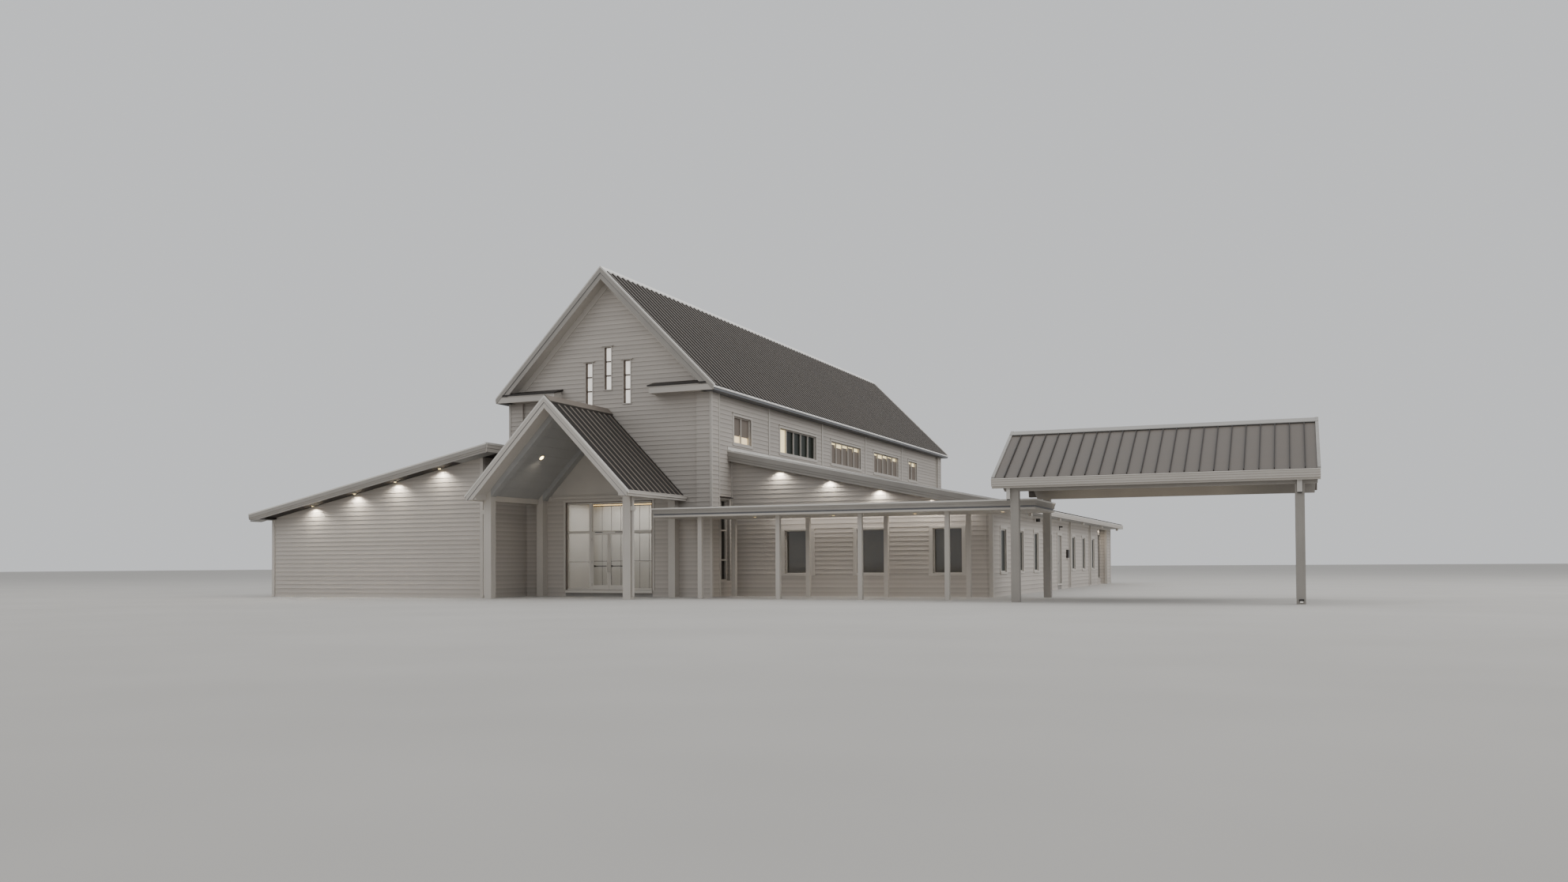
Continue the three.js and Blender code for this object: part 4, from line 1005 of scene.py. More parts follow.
class CHURCH_OT_carport_roof(bpy.types.Operator):
    """Standing seams, ridge cap, edge strips and gutters of the carport roof"""
    bl_idname = "church.carport_roof"
    bl_label = "Carport roof"

    def execute(self, context):
        y, z, half, slope = CARPORT_RIDGE_Y, CARPORT_RIDGE, CARPORT_HALF, CARPORT_SLOPE
        x0, x1 = CARPORT_X
        tip = z - slope * half
        slopes = [((y + side * 290, z - slope * 290), (y + side * (half - 6), tip + 4)) for side in (1, -1)]
        sizes = group("church_roofing")
        seam = real(sizes.seam_width), real(sizes.seam_width), real(sizes.seam_height)
        # Painted shade: the seams are drawn in the dark pan steel for the shade on their flanks.
        ribs("carport_seams", slopes, (x0 + 150, x1 - 150), "coated_roof_steel", seam, CARPORT_SEAM_PITCH, across=True)
        flat = slope * 0.84
        with piece("carport_ridge_cap", "dull_edge_steel"):
            prism_x([(y + a, b) for a, b in ridge_cap(z, flat, 290, 34, turned_down=8)], x0 - 20, x1 + 20)
        with piece("carport_ridge_closures", "dark_bronze"):
            for side in (1, -1):
                ya, yb = y + side * 280, y + side * 230
                prism_x([(ya, z - slope * 280 - 20), (ya, z - flat * 280 + 20), (yb, z - flat * 230 + 20),
                         (yb, z - slope * 230 - 20)], x0 + 30, x1 - 30)
        with piece("carport_rake_strips", "dull_edge_steel", 5):
            for xa, xb in ((x0 - 34, x0 + 62), (x1 - 62, x1 + 34)):
                prism_x([(y + a, b) for a, b in rake_strip(z, slope, half + 30, 50, 10)], xa, xb)
        with piece("carport_rake_boards", "trim_paint", 3):
            for xa, xb in ((x0 - 24, x0), (x1, x1 + 24)):
                prism_x([(y, z + 8), (y + half, tip + 8), (y + half, CARPORT_FASCIA_BOTTOM - 6),
                         (y + half - 155, CARPORT_FASCIA_BOTTOM - 6), (y + half - 210, 3900),
                         (y, z - 232), (y - half + 210, 3900), (y - half + 155, CARPORT_FASCIA_BOTTOM - 6),
                         (y - half, CARPORT_FASCIA_BOTTOM - 6), (y - half, tip + 8)], xa, xb)
        for side, word in ((-1, "front"), (1, "back")):
            edge = y + side * half
            out = side
            top = tip - 22
            steps = ((0, 12), (116, 0), (124, -12), (124, -26), (106, -34), (106, -104), (90, -110), (90, -122),
                     (102, -128), (102, -182), (84, -190), (84, -202), (94, -208), (94, -252), (0, -252))
            with piece(f"carport_gutter_{word}", "trim_paint", 4):
                prism_x([(edge + out * a, top + b) for a, b in steps], x0 - 26, x1 + 26)
            with piece(f"carport_frieze_{word}", "trim_paint", 3):
                prism_x([(edge, top - 245), (edge + out * 26, top - 245), (edge + out * 26, CARPORT_FASCIA_BOTTOM - 8),
                         (edge, CARPORT_FASCIA_BOTTOM - 8)], x0 - 10, x1 + 10)
        return {"FINISHED"}


# ---- trim boards


def wall_block(u, deep, v, plane):
    """A block in a wall: u runs along the wall, v up and deep through it."""
    if plane == "y":
        block(u, deep, v)
    else:
        block(deep, u, v)


def pane_frame(u, v, deep, width, muntins_u=(), muntins_v=(), bar=40, plane="y"):
    """A sash: four rails round an opening and bars across it."""
    (u0, u1), (v0, v1) = u, v
    inner_u, inner_v = (u0 + width, u1 - width), (v0 + width, v1 - width)
    wall_block((u0, inner_u[0]), deep, v, plane)
    wall_block((inner_u[1], u1), deep, v, plane)
    wall_block(inner_u, deep, (v0, inner_v[0]), plane)
    wall_block(inner_u, deep, (inner_v[1], v1), plane)
    for centre in muntins_u:
        wall_block((centre - bar / 2, centre + bar / 2), deep, inner_v, plane)
    for level in muntins_v:
        wall_block(inner_u, deep, (level - bar / 2, level + bar / 2), plane)


def casing_round(u, v, face, out, width, head, plane="y", sill=None):
    """Boards round an opening on the wall face, standing out by the trim thickness."""
    (u0, u1), (v0, v1) = u, v
    proud = real(group("church_cladding").proud)
    sill = width if sill is None else sill
    boards = (((u0 - width, u0), (v0, v1), 0), ((u1, u1 + width), (v0, v1), 0),
              ((u0 - width, u1 + width), (v1, v1 + head), 3),
              ((u0 - width - 12, u1 + width + 12), (v0 - sill, v0), 14))
    for a, b, extra in boards:
        wall_block(a, (face - out * 8, face + out * (proud + extra)), b, plane)


def corner_strips(x, y, half, inset, z):
    """Strips on the four corners of a post."""
    for sx in (1, -1):
        for sy in (1, -1):
            block((x + sx * (half - inset), x + sx * (half + 4)), (y + sy * (half - inset), y + sy * (half + 4)), z)


def corner_boards(x, y, out_x, out_y, z, width, proud):
    """Two boards that lap on a corner of the building."""
    block((x - out_x * width, x + out_x * proud), (y - out_y * 6, y + out_y * proud), z)
    block((x - out_x * 6, x + out_x * proud), (y, y - out_y * width), z)


class CHURCH_OT_nave_trim(bpy.types.Operator):
    """Barge boards, frieze, returns, corner boards and battens of the nave"""
    bl_idname = "church.nave_trim"
    bl_label = "Nave trim"

    def execute(self, context):
        proud = real(group("church_cladding").proud)
        for end, word in ((0, "front"), (1, "back")):
            out = 1 if end else -1
            outer = NAVE_LENGTH + NAVE_OVERHANG if end else -NAVE_OVERHANG
            wall = NAVE_LENGTH - WALL_FRONT_Y if end else WALL_FRONT_Y
            foot = EAVE_BOTTOM - 10
            # Painted shade: the barge boards are drawn in the darker trim paint.
            with piece(f"nave_{word}_rake_boards", "weathered_trim", 4):
                prism_y(rake_strip(RIDGE, 1.0, EAVE_X + 6, 20, 190, foot), outer, outer + out * 40)
                prism_y(rake_strip(RIDGE, 1.0, EAVE_X + 2, -180, 452, foot), outer - out * 4, outer + out * 12)
            with piece(f"nave_{word}_rake_shadow_line", "grey_soffit"):
                prism_y(rake_strip(RIDGE, 1.0, EAVE_X + 4, -186, 216, foot), outer - out * 2, outer + out * 16)
            with piece(f"nave_{word}_rake_soffits", "trim_paint", 2):
                for side in (1, -1):
                    prism_y([(side * 2, NAVE_UNDER + 1 - 2), (side * 4398, NAVE_UNDER + 1 - 4398),
                             (side * 4398, NAVE_UNDER - 15 - 4398), (side * 2, NAVE_UNDER - 15 - 2)],
                            outer - out * 42, wall - out * 2)
            with piece(f"nave_{word}_frieze", "trim_paint"):
                for side in (1, -1):
                    prism_y([(side * 2, NAVE_UNDER - 10), (side * 4380, NAVE_UNDER - 4388),
                             (side * 4062, NAVE_UNDER - 4388), (side * 2, NAVE_UNDER - 328)],
                            wall - out * 4, wall + out * 46)
            self.returns(word, outer, wall, out)
            pier = NAVE_LENGTH if end else 0
            with piece(f"nave_{word}_corner_boards", "trim_paint", None):
                for side in (1, -1):
                    top = EAVE_BOTTOM - 4
                    corner_boards(side * NAVE_PIER_X, pier, side, out, (4, top), 62, proud)
                    step = pier - out * PIER_DEPTH
                    block((side * NAVE_PIER_X, side * (NAVE_PIER_X + proud)), (step, step + out * 80), (4, top))
        with piece("nave_battens", "trim_paint", None):
            for side, roof in ((1, right_roof), (-1, left_roof)):
                face = side * NAVE_WALL_X
                low = roof(side * (NAVE_WALL_X + 20)) + 150
                for y in BAY_LINES:
                    block((face, face + side * 46), (y - 75, y + 75), (low, EAVE_BOTTOM - 4))
                for y in (PIER_DEPTH + 45, NAVE_LENGTH - PIER_DEPTH - 45):
                    block((face, face + side * 40), (y - 45, y + 45), (low, EAVE_BOTTOM - 4))
        # Painted shade: the eave soffits are drawn in shade grey.
        with piece("nave_eave_soffits", "grey_soffit", 3):
            for side in (1, -1):
                block((side * NAVE_WALL_X, side * (EAVE_X - 4)), (-NAVE_OVERHANG + 4, NAVE_LENGTH + NAVE_OVERHANG - 4),
                      (EAVE_BOTTOM - 14, EAVE_BOTTOM + 1))
        return {"FINISHED"}

    def returns(self, word, outer, wall, out):
        """Level boards and dark sloping covers of the cornice returns."""
        with piece(f"nave_{word}_return_boards", "trim_paint", 3):
            for side in (1, -1):
                inner = side * RETURN_INNER_X
                block((inner, side * (EAVE_X + 2)), (outer, outer + out * 26), (EAVE_BOTTOM - 12, RETURN_TOP - 60))
                block((inner - side * 26, inner), (outer + out * 26, wall), (EAVE_BOTTOM - 12, RETURN_TOP - 60))
                block((inner - side * 34, side * 4400), (outer + out * 40, wall), (RETURN_TOP - 62, RETURN_TOP - 4))
        with piece(f"nave_{word}_return_covers", "coated_roof_steel", 3):
            for side in (1, -1):
                x0, x1 = side * (RETURN_INNER_X - 90), side * 4720
                prism_x([(outer + out * 66, RETURN_TOP - 22), (outer + out * 66, RETURN_TOP + 34),
                         (wall + out * 10, RETURN_WALL_TOP + 114), (wall + out * 10, RETURN_WALL_TOP + 50)], x0, x1)


class CHURCH_OT_nave_windows(bpy.types.Operator):
    """Casings, sashes, bars and what shows behind the glass of the nave windows"""
    bl_idname = "church.nave_windows"
    bl_label = "Nave windows"

    def execute(self, context):
        self.gable()
        for side, word in ((1, "right"), (-1, "left")):
            self.clerestory(side, word)
        self.tall()
        return {"FINISHED"}

    def gable(self):
        half = GABLE_WINDOW_WIDTH / 2
        with piece("gable_window_casings", "trim_paint", 3):
            for x, z0, z1 in GABLE_WINDOWS:
                casing_round((x - half, x + half), (z0, z1), WALL_FRONT_Y, -1, 38, 34, sill=40)
                block((x - half - 120, x + half + 120), (WALL_FRONT_Y, WALL_FRONT_Y - 84), (z1 + 34, z1 + 72))
        # Painted shade: the sashes are drawn tan brown, dark against the glowing blinds.
        with piece("gable_window_sashes", "tan_liner", 2):
            for x, z0, z1 in GABLE_WINDOWS:
                third = (z1 - z0) / 3
                pane_frame((x - half, x + half), (z0, z1), (WALL_FRONT_Y + 80, WALL_FRONT_Y + 150), 20,
                           muntins_v=(z0 + third, z0 + 2 * third), bar=50)
            depth = (WALL_FRONT_Y - 2, WALL_FRONT_Y + 90)
            for x, z0, z1 in GABLE_WINDOWS:
                for side in (1, -1):
                    block((x + side * (half - 8), x + side * (half + 2)), depth, (z0, z1))
                block((x - half, x + half), depth, (z1 - 8, z1 + 2))
        # Painted light: the blinds glow for the lit room behind them.
        with piece("gable_window_blinds", "lit_blind", 3):
            for x, z0, z1 in GABLE_WINDOWS:
                block((x - half + 10, x + half - 10), (WALL_FRONT_Y + 120, WALL_FRONT_Y + 128), (z0 + 10, z1 - 10))

    def clerestory(self, side, word):
        z0, z1 = CLERESTORY
        face = side * NAVE_WALL_X
        width = real(group("church_cladding").casing)
        with piece(f"clerestory_casings_{word}", "trim_paint", None):
            for y, wide, lights in CLERESTORY_WINDOWS:
                casing_round((y - wide / 2, y + wide / 2), (z0, z1), face, side, width, width, plane="x")
                block((face, face + side * 72), (y - wide / 2 - width - 20, y + wide / 2 + width + 20),
                      (z1 + width, z1 + width + 30))
        with piece(f"clerestory_sashes_{word}", "trim_paint", 3):
            for y, wide, lights in CLERESTORY_WINDOWS:
                pitch = wide / lights
                bars = [y - wide / 2 + pitch * i for i in range(1, lights)]
                pane_frame((y - wide / 2, y + wide / 2), (z0, z1), (face - side * 50, face - side * 112), 44,
                           muntins_u=bars, bar=60, plane="x")
        for index, (y, wide, lights) in enumerate(CLERESTORY_WINDOWS):
            self.blinds(side, word, index, y, wide, lights)

    def blinds(self, side, word, index, y, wide, lights):
        """What hangs behind each light: a glowing grey shade over a glowing sill, a glowing cream blind or a near-black
        sheet; the glow is painted light of a lit room, the sheet painted shade of an unlit one.
        """
        z0, z1 = CLERESTORY
        pitch = wide / lights
        plan = {0: "ww", 1: "cdddd", 2: "ggggg", 3: "ggggg", 4: "gg"}[index]
        inner = side * (NAVE_WALL_X - 100)
        kinds = {"w": "lit_shade_fabric", "g": "lit_shade_fabric", "c": "cream_blind", "d": "night_glazing"}
        for code, finish in kinds.items():
            places = [i for i, c in enumerate(plan) if c == code]
            if not places:
                continue
            # Painted light on the glowing shades and blinds, painted shade on the near-black sheets.
            with piece(f"clerestory_{finish}_{word}_{index + 1}", finish, 2):
                for i in places:
                    a = y - wide / 2 + pitch * i + 20
                    gap = (120, 230, 160, 90, 200)[i] if code == "g" else 10
                    foot = z0 + 330 if code == "w" else z0 + 10
                    block((inner - side * 22, inner - side * 30), (a, a + pitch - 40), (foot, z1 - gap))
            if code in "wg":
                low, high = (z1 - 260, z1 + 40) if code == "g" else (z0 - 40, z0 + 380)
                # Painted light: glowing panels stand for the lit room at the top of the grey shades and below the
                # raised ones.
                with piece(f"clerestory_lamps_{word}_{index + 1}", "cream_blind" if code == "g" else "warm_curtain", 3):
                    block((inner - side * 52, inner - side * 70), (y - wide / 2 + 10, y + wide / 2 - 10),
                          (low, min(high, z1 - 10)))

    def tall(self):
        y0, y1, z0, z1 = TALL_WINDOW
        face = NAVE_WALL_X
        with piece("tall_window_casing", "trim_paint", None):
            casing_round((y0, y1), (z0, z1), face, 1, 70, 80, plane="x", sill=60)
        with piece("tall_window_sash", "trim_paint", 3):
            pane_frame((y0, y1), (z0, z1), (face - 110, face - 199), 50, muntins_u=((y0 + y1) / 2,),
                       muntins_v=(1450, 2640), bar=54, plane="x")
        with piece("tall_window_head_cover", "coated_roof_steel", 3):
            prism_y([(face + 4, z1 + 140), (face + 150, z1 + 96), (face + 150, z1 + 78), (face + 4, z1 + 78)],
                    y0 - 110, y1 + 110)


class CHURCH_OT_wing_trim(bpy.types.Operator):
    """Corner boards, battens and recess trim of the wings"""
    bl_idname = "church.wing_trim"
    bl_label = "Wing trim"

    def execute(self, context):
        sizes = group("church_cladding")
        width, proud = real(sizes.corner), real(sizes.proud)
        top = WING_SOFFIT - 2
        with piece("right_wing_corner_boards", "trim_paint", None):
            corner_boards(RIGHT_WALL_X, RIGHT_FRONT, 1, -1, (4, top), width, proud)
            corner_boards(RIGHT_WALL_X, WING_BACK, 1, 1, (4, top), width, proud)
            block((NAVE_WALL_X, NAVE_WALL_X + 70), (RIGHT_FRONT, RIGHT_FRONT - proud),
                  (4, right_roof(NAVE_WALL_X + 70) - WING_DROP - 90))
        with piece("left_wing_corner_boards", "trim_paint", None):
            corner_boards(LEFT_WALL_X, LEFT_FRONT, -1, -1, (4, top), width, proud)
            corner_boards(LEFT_WALL_X, WING_BACK, -1, 1, (4, top), width, proud)
            high = left_roof(LEFT_INNER_WALL_X) - WING_DROP - 40
            corner_boards(LEFT_INNER_WALL_X, LEFT_FRONT, 1, -1, (4, high), width, proud)
        with piece("wing_side_battens", "trim_paint", None):
            for side, face in ((1, RIGHT_WALL_X), (-1, LEFT_WALL_X)):
                for y in (11870, 18420, 24860):
                    block((face, face + side * 46), (y - 45, y + 45), (4, top))
                block((face, face + side * 40), (RIGHT_FRONT if side > 0 else LEFT_FRONT, WING_BACK), (top - 130, top))
        y0, y1, _ = RECESS
        with piece("recess_trim", "trim_paint", None):
            for y, out in ((y0, 1), (y1, -1)):
                block((RIGHT_WALL_X - 6, RIGHT_WALL_X + proud), (y, y - out * width), (4, top - 130))
                block((RIGHT_WALL_X - 110, RIGHT_WALL_X + 4), (y, y + out * 26), (4, top))
        return {"FINISHED"}


class CHURCH_OT_wing_windows(bpy.types.Operator):
    """Casings, sashes and shades of the wing windows"""
    bl_idname = "church.wing_windows"
    bl_label = "Wing windows"

    def execute(self, context):
        width = real(group("church_cladding").casing)
        half, foot, head = RIGHT_FRONT_WINDOW
        with piece("right_wing_front_casings", "trim_paint", None):
            for x in RIGHT_FRONT_WINDOWS:
                casing_round((x - half, x + half), (foot, head), RIGHT_FRONT, -1, width + 40, 90, sill=90)
        with piece("right_wing_front_sashes", "coated_aluminium", 3):
            for x in RIGHT_FRONT_WINDOWS:
                pane_frame((x - half, x + half), (foot, head), (RIGHT_FRONT + 110, RIGHT_FRONT + 199), 30)
        with piece("right_wing_front_shades", "grey_shade_fabric", 2):
            for x in RIGHT_FRONT_WINDOWS:
                block((x - 540, x + 540), (RIGHT_FRONT + 218, RIGHT_FRONT + 224), (870, 2630))
                block((x - 540, x + 540), (RIGHT_FRONT + 214, RIGHT_FRONT + 230), (925, 950))
        rows = (("right_front", RIGHT_WALL_X, 1, range(0, 4)), ("right_back", RIGHT_WALL_X, 1, range(5, 8)),
                ("left", LEFT_WALL_X, -1, range(0, 8)))
        half, foot, head = SIDE_WINDOW
        for word, face, out, indexes in rows:
            middles = [SIDE_WINDOW_FIRST + i * SIDE_WINDOW_STEP for i in indexes]
            with piece(f"side_window_casings_{word}", "trim_paint", None):
                for y in middles:
                    casing_round((y - half, y + half), (foot, head), face, out, width + 25, 150, plane="x", sill=80)
            with piece(f"side_window_sashes_{word}", "coated_aluminium", 3):
                for y in middles:
                    pane_frame((y - half, y + half), (foot, head), (face - out * 14, face - out * 64), 46, plane="x")
            # Painted shade: near-black sheets behind the glass stand for the dark rooms.
            with piece(f"side_window_panes_{word}", "night_glazing", 2):
                for y in middles:
                    block((face - out * 34, face - out * 42), (y - half + 20, y + half - 20), (foot + 20, head - 20))
        y0, y1, z0, z1 = RECESS_WINDOW
        face = RIGHT_WALL_X - RECESS[2]
        third = (y1 - y0) / 3
        with piece("recess_window_frame", "dark_bronze", 3):
            pane_frame((y0, y1), (z0, z1), (face - 60, face - 199), 60, muntins_u=(y0 + third, y0 + 2 * third),
                       muntins_v=(2300,), bar=60, plane="x")
        return {"FINISHED"}


# ---- entrance


class CHURCH_OT_entrance(bpy.types.Operator):
    """Casing, threshold, door hardware and the lobby seen through the glass"""
    bl_idname = "church.entrance"
    bl_label = "Entrance"

    def execute(self, context):
        face = WALL_FRONT_Y
        half, top = ENTRANCE_HALF, ENTRANCE_TOP
        with piece("entrance_casing", "trim_paint", None):
            for side in (1, -1):
                block((side * half, side * (half + 95)), (face - 40, face + 8), (FLOOR - 2, top))
            block((-half - 95, half + 95), (face - 43, face + 8), (top, top + 95))
        # Painted shade: tan boards in front of the frame stand for a deep reveal in shade.
        with piece("entrance_jamb_liners", "tan_liner", 2):
            for side in (1, -1):
                block((side * (half - 2), side * (half - 62)), (FRAME_FRONT - 10, FRAME_FRONT + 2), (FLOOR, top - 2))
            block((62 - half, half - 62), (FRAME_FRONT - 10, FRAME_FRONT + 2), (top - 26, top - 2))
        with piece("entrance_threshold", "coated_aluminium", 3):
            prism_x([(20, FLOOR - 120), (20, FLOOR - 60), (60, FLOOR - 22), (128, FLOOR - 4), (128, FLOOR - 120)],
                    -half + 4, half - 4)
        with piece("entrance_glazing_beads", "coated_aluminium", 2):
            self.beads()
        for side, word in ((-1, "left"), (1, "right")):
            self.leaf(side, word)
        with piece("entrance_closer_arms", "dark_bronze", 4):
            for side in (1, -1):
                block((side * 300, side * 640), (96, 122), (2596, 2622))
        self.lobby()
        return {"FINISHED"}

    def beads(self):
        """Narrow beads that hold the glass in the fixed frame."""
        y = (240 - 30, 240 - 2)
        top = ENTRANCE_TOP - 60
        under, over = TRANSOM
        openings = [((-DOORWAY_HALF, DOORWAY_HALF), (over, top))]
        for side in (1, -1):
            u = sorted(side * x for x in SIDELIGHT)
            openings += [(u, (310, under)), (u, (over, top))]
        for u, v in openings:
            pane_frame(u, v, y, 22)
        for side in (1, -1):
            block(sorted(side * x for x in SIDELIGHT), (204, 238), (1385, 1425))

    def leaf(self, side, word):
        """Push bar, pull, stiles and hinges on one leaf; they turn with it."""
        hinge = side * (DOORWAY_HALF - DOOR_GAP)
        meet = side * DOOR_GAP / 2
        body = f"entrance_leaf_{word}"
        inner = FRAME_FRONT + 45
        a, b = sorted((hinge - side * 70, meet + side * 70))
        with piece(f"entrance_push_bar_{word}", "dark_bronze", 6, body=body):
            block((a, b), (inner + 40, inner + 72), (1210, 1250))
            for x in (a + 18, b - 18):
                block((x - 26, x + 26), (inner - 2, inner + 60), (1196, 1264))
        x = meet + side * 46
        with piece(f"entrance_pull_{word}", "coated_aluminium", body=body, smooth=True):
            rod((x, FRAME_FRONT - 62, 1180), 13, 420)
            for z in (1010, 1350):
                rod((x, FRAME_FRONT - 31, z), 10, 62, "Y", 12)
        with piece(f"entrance_hinges_{word}", "dark_bronze", body=body, smooth=True):
            for z in HINGE_LEVELS:
                rod((hinge, FRAME_FRONT, z), HINGE_RADIUS, 110, "Z", 14)
        a, b = sorted((hinge - side * 60, meet + side * 60))
        with piece(f"entrance_leaf_beads_{word}", "coated_aluminium", 2, body=body):
            pane_frame((a, b), (440, 2518), (FRAME_FRONT + 6, FRAME_FRONT + 15), 16)
            block((a, b), (FRAME_FRONT - 5, FRAME_FRONT + 2), (292, 430))

    def lobby(self):
        """The pale panelled wall and ceiling that show through the entrance glass."""
        y = 2650
        width, height = 460, 1180
        with piece("lobby_wall_panels", "lobby_panels", 3):
            for i in range(-5, 5):
                for k in range(3):
                    x0, z0 = i * width, FLOOR + k * height
                    block((x0 + 11, x0 + width - 11), (y, y + 30), (z0 + 11, z0 + height - 11))
        with piece("lobby_wall_backing", "dark_bronze", 3):
            block((-2300, 2300), (y + 22, y + 60), (FLOOR + 1, 3950))
        with piece("lobby_side_walls", "lobby_panels", 3):
            for side in (1, -1):
                block((side * 2290, side * 2330), (WALL_FRONT_Y + WALL + 4, y + 60), (FLOOR + 1, 3950))
        with piece("lobby_ceiling", "lobby_panels", 3):
            block((-2330, 2330), (WALL_FRONT_Y + WALL + 4, y + 60), (3950, 3980))
        with piece("lobby_cove_lamp", "cove_lamp", 4):
            block((-2280, 2280), (y - 60, y + 10), (3836, 3872))


class CHURCH_OT_side_door(bpy.types.Operator):
    """Casing, threshold, handle and hinges of the side door"""
    bl_idname = "church.side_door"
    bl_label = "Side door"

    def execute(self, context):
        y0, y1, top, face = SIDE_DOOR
        wall = RIGHT_WALL_X
        width = real(group("church_cladding").casing)
        with piece("side_door_casing", "trim_paint", None):
            for a, b in ((y0 - width, y0 + 4), (y1 - 4, y1 + width)):
                block((wall - 6, wall + 38), (a, b), (FLOOR - 60, top))
            block((wall - 6, wall + 41), (y0 - width, y1 + width), (top - 4, top + 150))
        with piece("side_door_threshold", "coated_aluminium", 5):
            block((wall - 60, wall + 36), (y0 + 2, y1 - 2), (FLOOR - 60, FLOOR + 12))
        with piece("side_door_panels", "door_enamel", 5, body="side_leaf"):
            for z in ((430, 1150), (1330, 2400)):
                block((face - 1, face + 7), (y0 + 170, y1 - 170), z)
        y = y0 + 100
        with piece("side_door_handle", "dark_bronze", body="side_leaf", smooth=True):
            block((face - 1, face + 12), (y - 22, y + 22), (1150, 1330))
            rod((face + 30, y, 1230), 11, 50, "X", 14)
            rod((face + 54, y + 55, 1230), 11, 130, "Y", 14)
        with piece("side_door_hinges", "dark_bronze", body="side_leaf", smooth=True):
            for z in HINGE_LEVELS:
                rod((face, y1 - DOOR_GAP, z), HINGE_RADIUS, 110, "Z", 14)
        return {"FINISHED"}


# ---- porch, canopy and carport


class CHURCH_OT_porch_trim(bpy.types.Operator):
    """Barge boards, gable panel and band, column trim of the porch"""
    bl_idname = "church.porch_trim"
    bl_label = "Porch trim"

    def execute(self, context):
        slope = PORCH_SLOPE
        foot = PORCH_EAVE_BOTTOM - 10
        with piece("porch_rake_boards", "trim_paint", 4):
            prism_y(rake_strip(PORCH_RIDGE, slope, PORCH_HALF + 6, 30, 150, foot), PORCH_FRONT - 34, PORCH_FRONT)
            prism_y(rake_strip(PORCH_RIDGE, slope, PORCH_HALF + 2, -140, 380, foot), PORCH_FRONT - 12, PORCH_FRONT + 6)
        with piece("porch_rake_shadow_line", "grey_soffit"):
            prism_y(rake_strip(PORCH_RIDGE, slope, PORCH_HALF + 4, -146, 178, foot), PORCH_FRONT - 17, PORCH_FRONT - 2)
        base = 4080
        under = PORCH_RIDGE - PORCH_RIB_DROP + 10
        reach = (under - base) / slope
        with piece("porch_gable_panel", "trim_paint", 3):
            prism_y([(-reach, base), (reach, base), (0, under)], WALL_FRONT_Y - 36, WALL_FRONT_Y - 2)
        with piece("porch_gable_band", "trim_paint", None):
            block((-2910, 2910), (WALL_FRONT_Y - 60, WALL_FRONT_Y - 2), (3990, 4080))
            block((-2910, 2910), (WALL_FRONT_Y - 96, WALL_FRONT_Y - 2), (4080, 4112))
        with piece("porch_column_trim", "trim_paint", 2):
            for side in (1, -1):
                corner_strips(side * PORCH_COLUMN_X, PORCH_COLUMN_Y, 150, 60, (20, PORCH_EAVE_BOTTOM - 1))
        return {"FINISHED"}


class CHURCH_OT_canopy_trim(bpy.types.Operator):
    """Stepped fascias, soffit boards and post trim of the walkway canopy"""
    bl_idname = "church.canopy_trim"
    bl_label = "Walkway canopy"

    def execute(self, context):
        low, top = CANOPY_Z
        x0, x1 = CANOPY_X
        y0, y1 = CANOPY_Y
        path = [(x0, -20), (x0, y0), (x1, y0), (x1, y1), (NAVE_PIER_X + 40, y1)]
        with piece("canopy_fascia_moulding", "trim_paint"):
            moulding([(-8, low - 6), (20, low - 6), (20, low + 62), (-8, low + 66)], path)
        # Painted shade: the upper fascia is drawn in the darker trim paint.
        with piece("canopy_upper_fascia", "weathered_trim"):
            moulding([(-8, low + 122), (36, low + 122), (36, low + 206), (46, low + 214),
                      (66, top - 30), (-8, top - 30)], path)
        with piece("canopy_shadow_strip", "grey_soffit"):
            moulding([(-8, low + 60), (3, low + 60), (3, low + 128), (-8, low + 128)], path)
        with piece("canopy_edge_strip", "roof_edge_steel"):
            moulding([(-8, top - 32), (78, top - 32), (78, top + 18), (-8, top + 26)], path)
        with piece("canopy_roof_sheet", "coated_roof_steel", 3):
            block((x0 + 2, x1 - 2), (y0 + 2, -20), (top - 2, top + 20))
            block((NAVE_PIER_X + 40, x1 - 2), (-22, y1 - 2), (top - 2, top + 20))
        count = 11
        with piece("canopy_soffit_battens", "trim_paint", 2):
            for i in range(count):
                x = x0 + 700 + i * (x1 - x0 - 1200) / (count - 1)
                block((x - 18, x + 18), (CANOPY_POST_Y[0] + 84, CANOPY_POST_Y[1] - 84 if x > NAVE_PIER_X + 30 else -30),
                      (low - 6, low + 4))
        with piece("canopy_post_trim", "trim_paint", 4):
            for x in CANOPY_POST_X:
                for y in CANOPY_POST_Y:
                    block((x - 84, x + 84), (y - 84, y + 84), (2, 40))
                    block((x - 84, x + 84), (y - 84, y + 84), (low - 30, low + 2))
        return {"FINISHED"}


